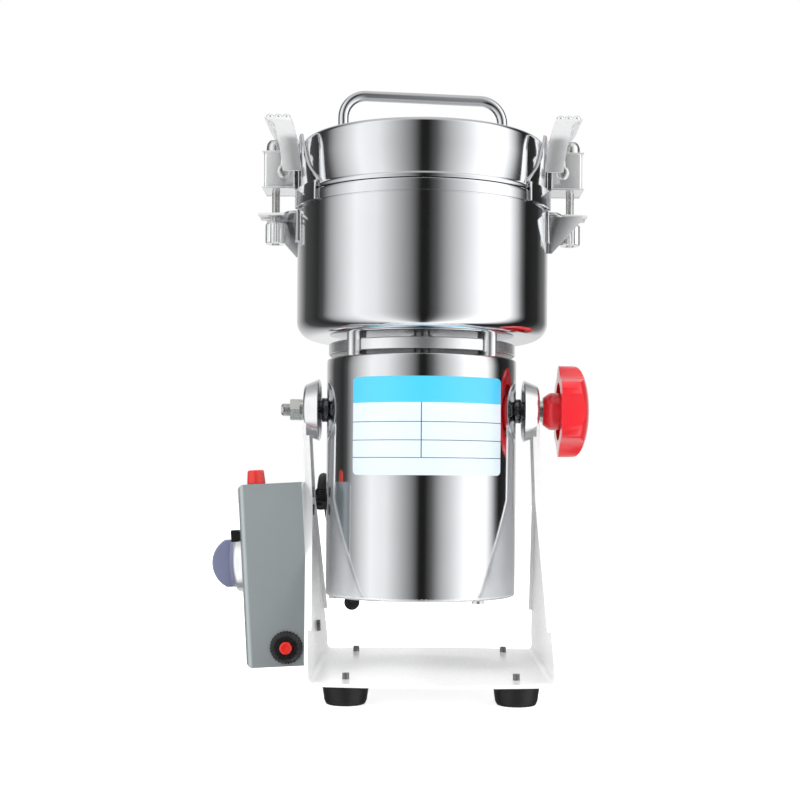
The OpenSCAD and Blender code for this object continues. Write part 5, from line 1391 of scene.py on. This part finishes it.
        band = traced("band", curve(span, top) + curve(span - t, top - t)[::-1], 2 * jar.rod_reach,
                      turn=SIDEWAYS, centred=False)
        front = traced("front", edge(0, 0) + edge(strap, crown)[::-1], 3 * span, turn=UPRIGHT)
        carved(band, front, "INTERSECT")
        rounded(band, 0.0005, 3, 50)
        parts = [band]
        middle_x = pin_x + self.edge_shares[-1][0] * rise + crown / 2
        ridge_end = [(0.0026, 0.0088), (0.0025, 0.0096), (0.0018, 0.0106), (0.0006, 0.0110)]
        ridge_profile = [(r, -z) for r, z in ridge_end[::-1]] + ridge_end
        for i in (-1, 0, 1):
            ridge = turned("ridge", ridge_profile, TINY)
            parts.append(placed(ridge, shift(middle_x + i * self.ridge_pitch, 0, top) @ turn_x(90)))
        outline = [(pin_x + a * rise, pin_z + b * rise) for a, b in self.cheek_shares]
        thick, hole = self.cheek, 0.00175
        for side in (-1, 1):
            place = side * self.cheek_place
            cheek = traced("cheek", outline, thick, turn=UPRIGHT, at=(0, place, 0))
            rounded(cheek, 0.0004, 2, 40)
            eye = turned("eye", [(hole, -thick / 2), (0.0036, -thick / 2), (0.0039, -0.00045),
                                 (0.0039, 0.00045), (0.0036, thick / 2), (hole, thick / 2),
                                 (hole, -thick / 2)], TINY)
            placed(eye, shift(pin_x, place, pin_z) @ turn_x(90))
            parts += [cheek, eye]
        return joined("lever", parts)

    def nut(self, jar):
        top = self.swing_z - 0.0008
        low, shoulder = top - 0.016, top - 0.0036
        r, bore = 0.0064, 0.00256
        body = turned("nut", [(bore, low)] + off(r, low, (-0.8, 0), (-0.2, 0.4), (0, 1.0))
                      + off(r, shoulder, (0, -0.8), (-0.3, -0.2), (-0.6, 0))
                      + [(0.0034, top - 0.0017), (0.0030, top - 0.0016), (bore, top - 0.0016), (bore, low)],
                      64)
        flute = turned("flute", [(0.0006, low - MM), (0.0006, low + 0.0115)], 8)
        for i in range(16):
            carved(body, copied(flute, turn_z(i * 22.5) @ shift(r + 0.0001, 0, 0)))
        removed(flute)
        return placed(body, shift(jar.rod_reach, 0, 0))

    def bracket(self, jar):
        r = jar.diameter / 2
        plate_in, t = r - jar.wall / 2, 0.0016
        top = JAR_TOP - 0.0077
        foot = top - 0.024
        half, weld, tip = 0.011, 0.019, jar.rod_reach + 0.010
        made = []
        wall = turned("wall", [(r, foot - 0.01), (r, top + 0.02)], FINE)
        for turn in (0, 180):
            plate = traced("plate", [
                (plate_in * 0.95, -weld), (plate_in + t * 3, -weld * 0.9), (plate_in + t * 5, -half),
                (tip, -half * 0.8), (tip, half * 0.8), (plate_in + t * 5, half),
                (plate_in + t * 3, weld * 0.9), (plate_in * 0.95, weld)],
                t, at=(0, 0, top - t), centred=False)
            gusset = traced("gusset", [
                (plate_in * 0.95, foot), (plate_in + t * 1.5, foot), (tip - t * 2, top - t * 2),
                (tip - t * 2, top - t / 2), (plate_in * 0.95, top - t / 2)], t, turn=UPRIGHT,
                at=(0, -half + t / 2, 0))
            carved(plate, gusset, "UNION")
            slot = block("slot", (tip, 0.006, 0.01), (jar.rod_reach + tip / 2, 0, top))
            carved(plate, slot)
            hole = turned("hole", [(0.003, top - 0.005), (0.003, top + 0.005)], SMALL)
            carved(plate, placed(hole, shift(jar.rod_reach, 0, 0)))
            carved(plate, copied(wall))
            rounded(plate, 0.0004, 2, 50)
            made.append(placed(plate, MILL @ turn_z(turn)))
            strip_low = foot + half / 2
            strip = turned("strip", [(r - 0.0001, strip_low), (r + t * 0.7, strip_low),
                                     (r + t, strip_low + 0.0005), (r + t, top), (r - 0.0001, top),
                                     (r - 0.0001, strip_low)], FINE)
            pads = block("pads", (0.2, weld - half + t, 0.2), (0.1, -(weld + half - t) / 2, 0.28))
            other = block("pads", (0.2, weld - half + t, 0.2), (0.1, (weld + half - t) / 2, 0.28))
            carved(pads, other, "UNION")
            carved(strip, pads, "INTERSECT")
            rounded(strip, 0.0003, 2, 50)
            made.append(placed(strip, MILL @ turn_z(turn)))
        removed(wall)
        kept(joined("jar_brackets", made), "mill", "clasp_chrome", FINISHES["drawn_steel"], "latch_brackets",
             angle=40)


class MILL_OT_carried(Operator):
    """Gives the CAD nodes that stay in view their finishes"""
    bl_idname = "mill.carried"
    bl_label = "Carried nodes"

    def execute(self, context):
        for node_name, finish_name in NODE_FINISHES.items():
            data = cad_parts[node_name].data
            data.materials.clear()
            data.materials.append(FINISHES[finish_name])
        return {"FINISHED"}


class MILL_PT_panel(Panel):
    """Lists the steps of the mill"""
    bl_label = "Grain Mill"
    bl_idname = "MILL_PT_panel"
    bl_space_type = "VIEW_3D"
    bl_region_type = "UI"
    bl_category = "Grain Mill"

    def draw(self, context):
        for step in STEPS:
            self.layout.operator("mill." + step)
        for name, group in GROUPS.items():
            part = self.layout.box()
            part.label(text=name.capitalize())
            for key in group.__annotations__:
                part.prop(settings(name), key)


GROUPS = {"stand": MillStand, "box": MillBox, "motor": MillMotor, "jar": MillJar, "finish": MillFinish}
OPERATORS = (MILL_OT_stage, MILL_OT_lead, MILL_OT_stand, MILL_OT_box, MILL_OT_motor, MILL_OT_pivot,
             MILL_OT_jar, MILL_OT_clasps, MILL_OT_carried)
STEPS = [operator.bl_idname.split(".")[1] for operator in OPERATORS]


def register():
    for group in GROUPS.values():
        bpy.utils.register_class(group)
    for name, group in GROUPS.items():
        setattr(bpy.types.Scene, "mill_" + name, PointerProperty(type=group))
    for operator in OPERATORS:
        bpy.utils.register_class(operator)
    bpy.utils.register_class(MILL_PT_panel)


def unregister():
    bpy.utils.unregister_class(MILL_PT_panel)
    for operator in reversed(OPERATORS):
        bpy.utils.unregister_class(operator)
    for name in GROUPS:
        delattr(bpy.types.Scene, "mill_" + name)
    for group in reversed(list(GROUPS.values())):
        bpy.utils.unregister_class(group)


def main():
    register()
    make_finishes()
    for step in STEPS:
        getattr(bpy.ops.mill, step)()
    clear()


if __name__ == "__main__":
    main()
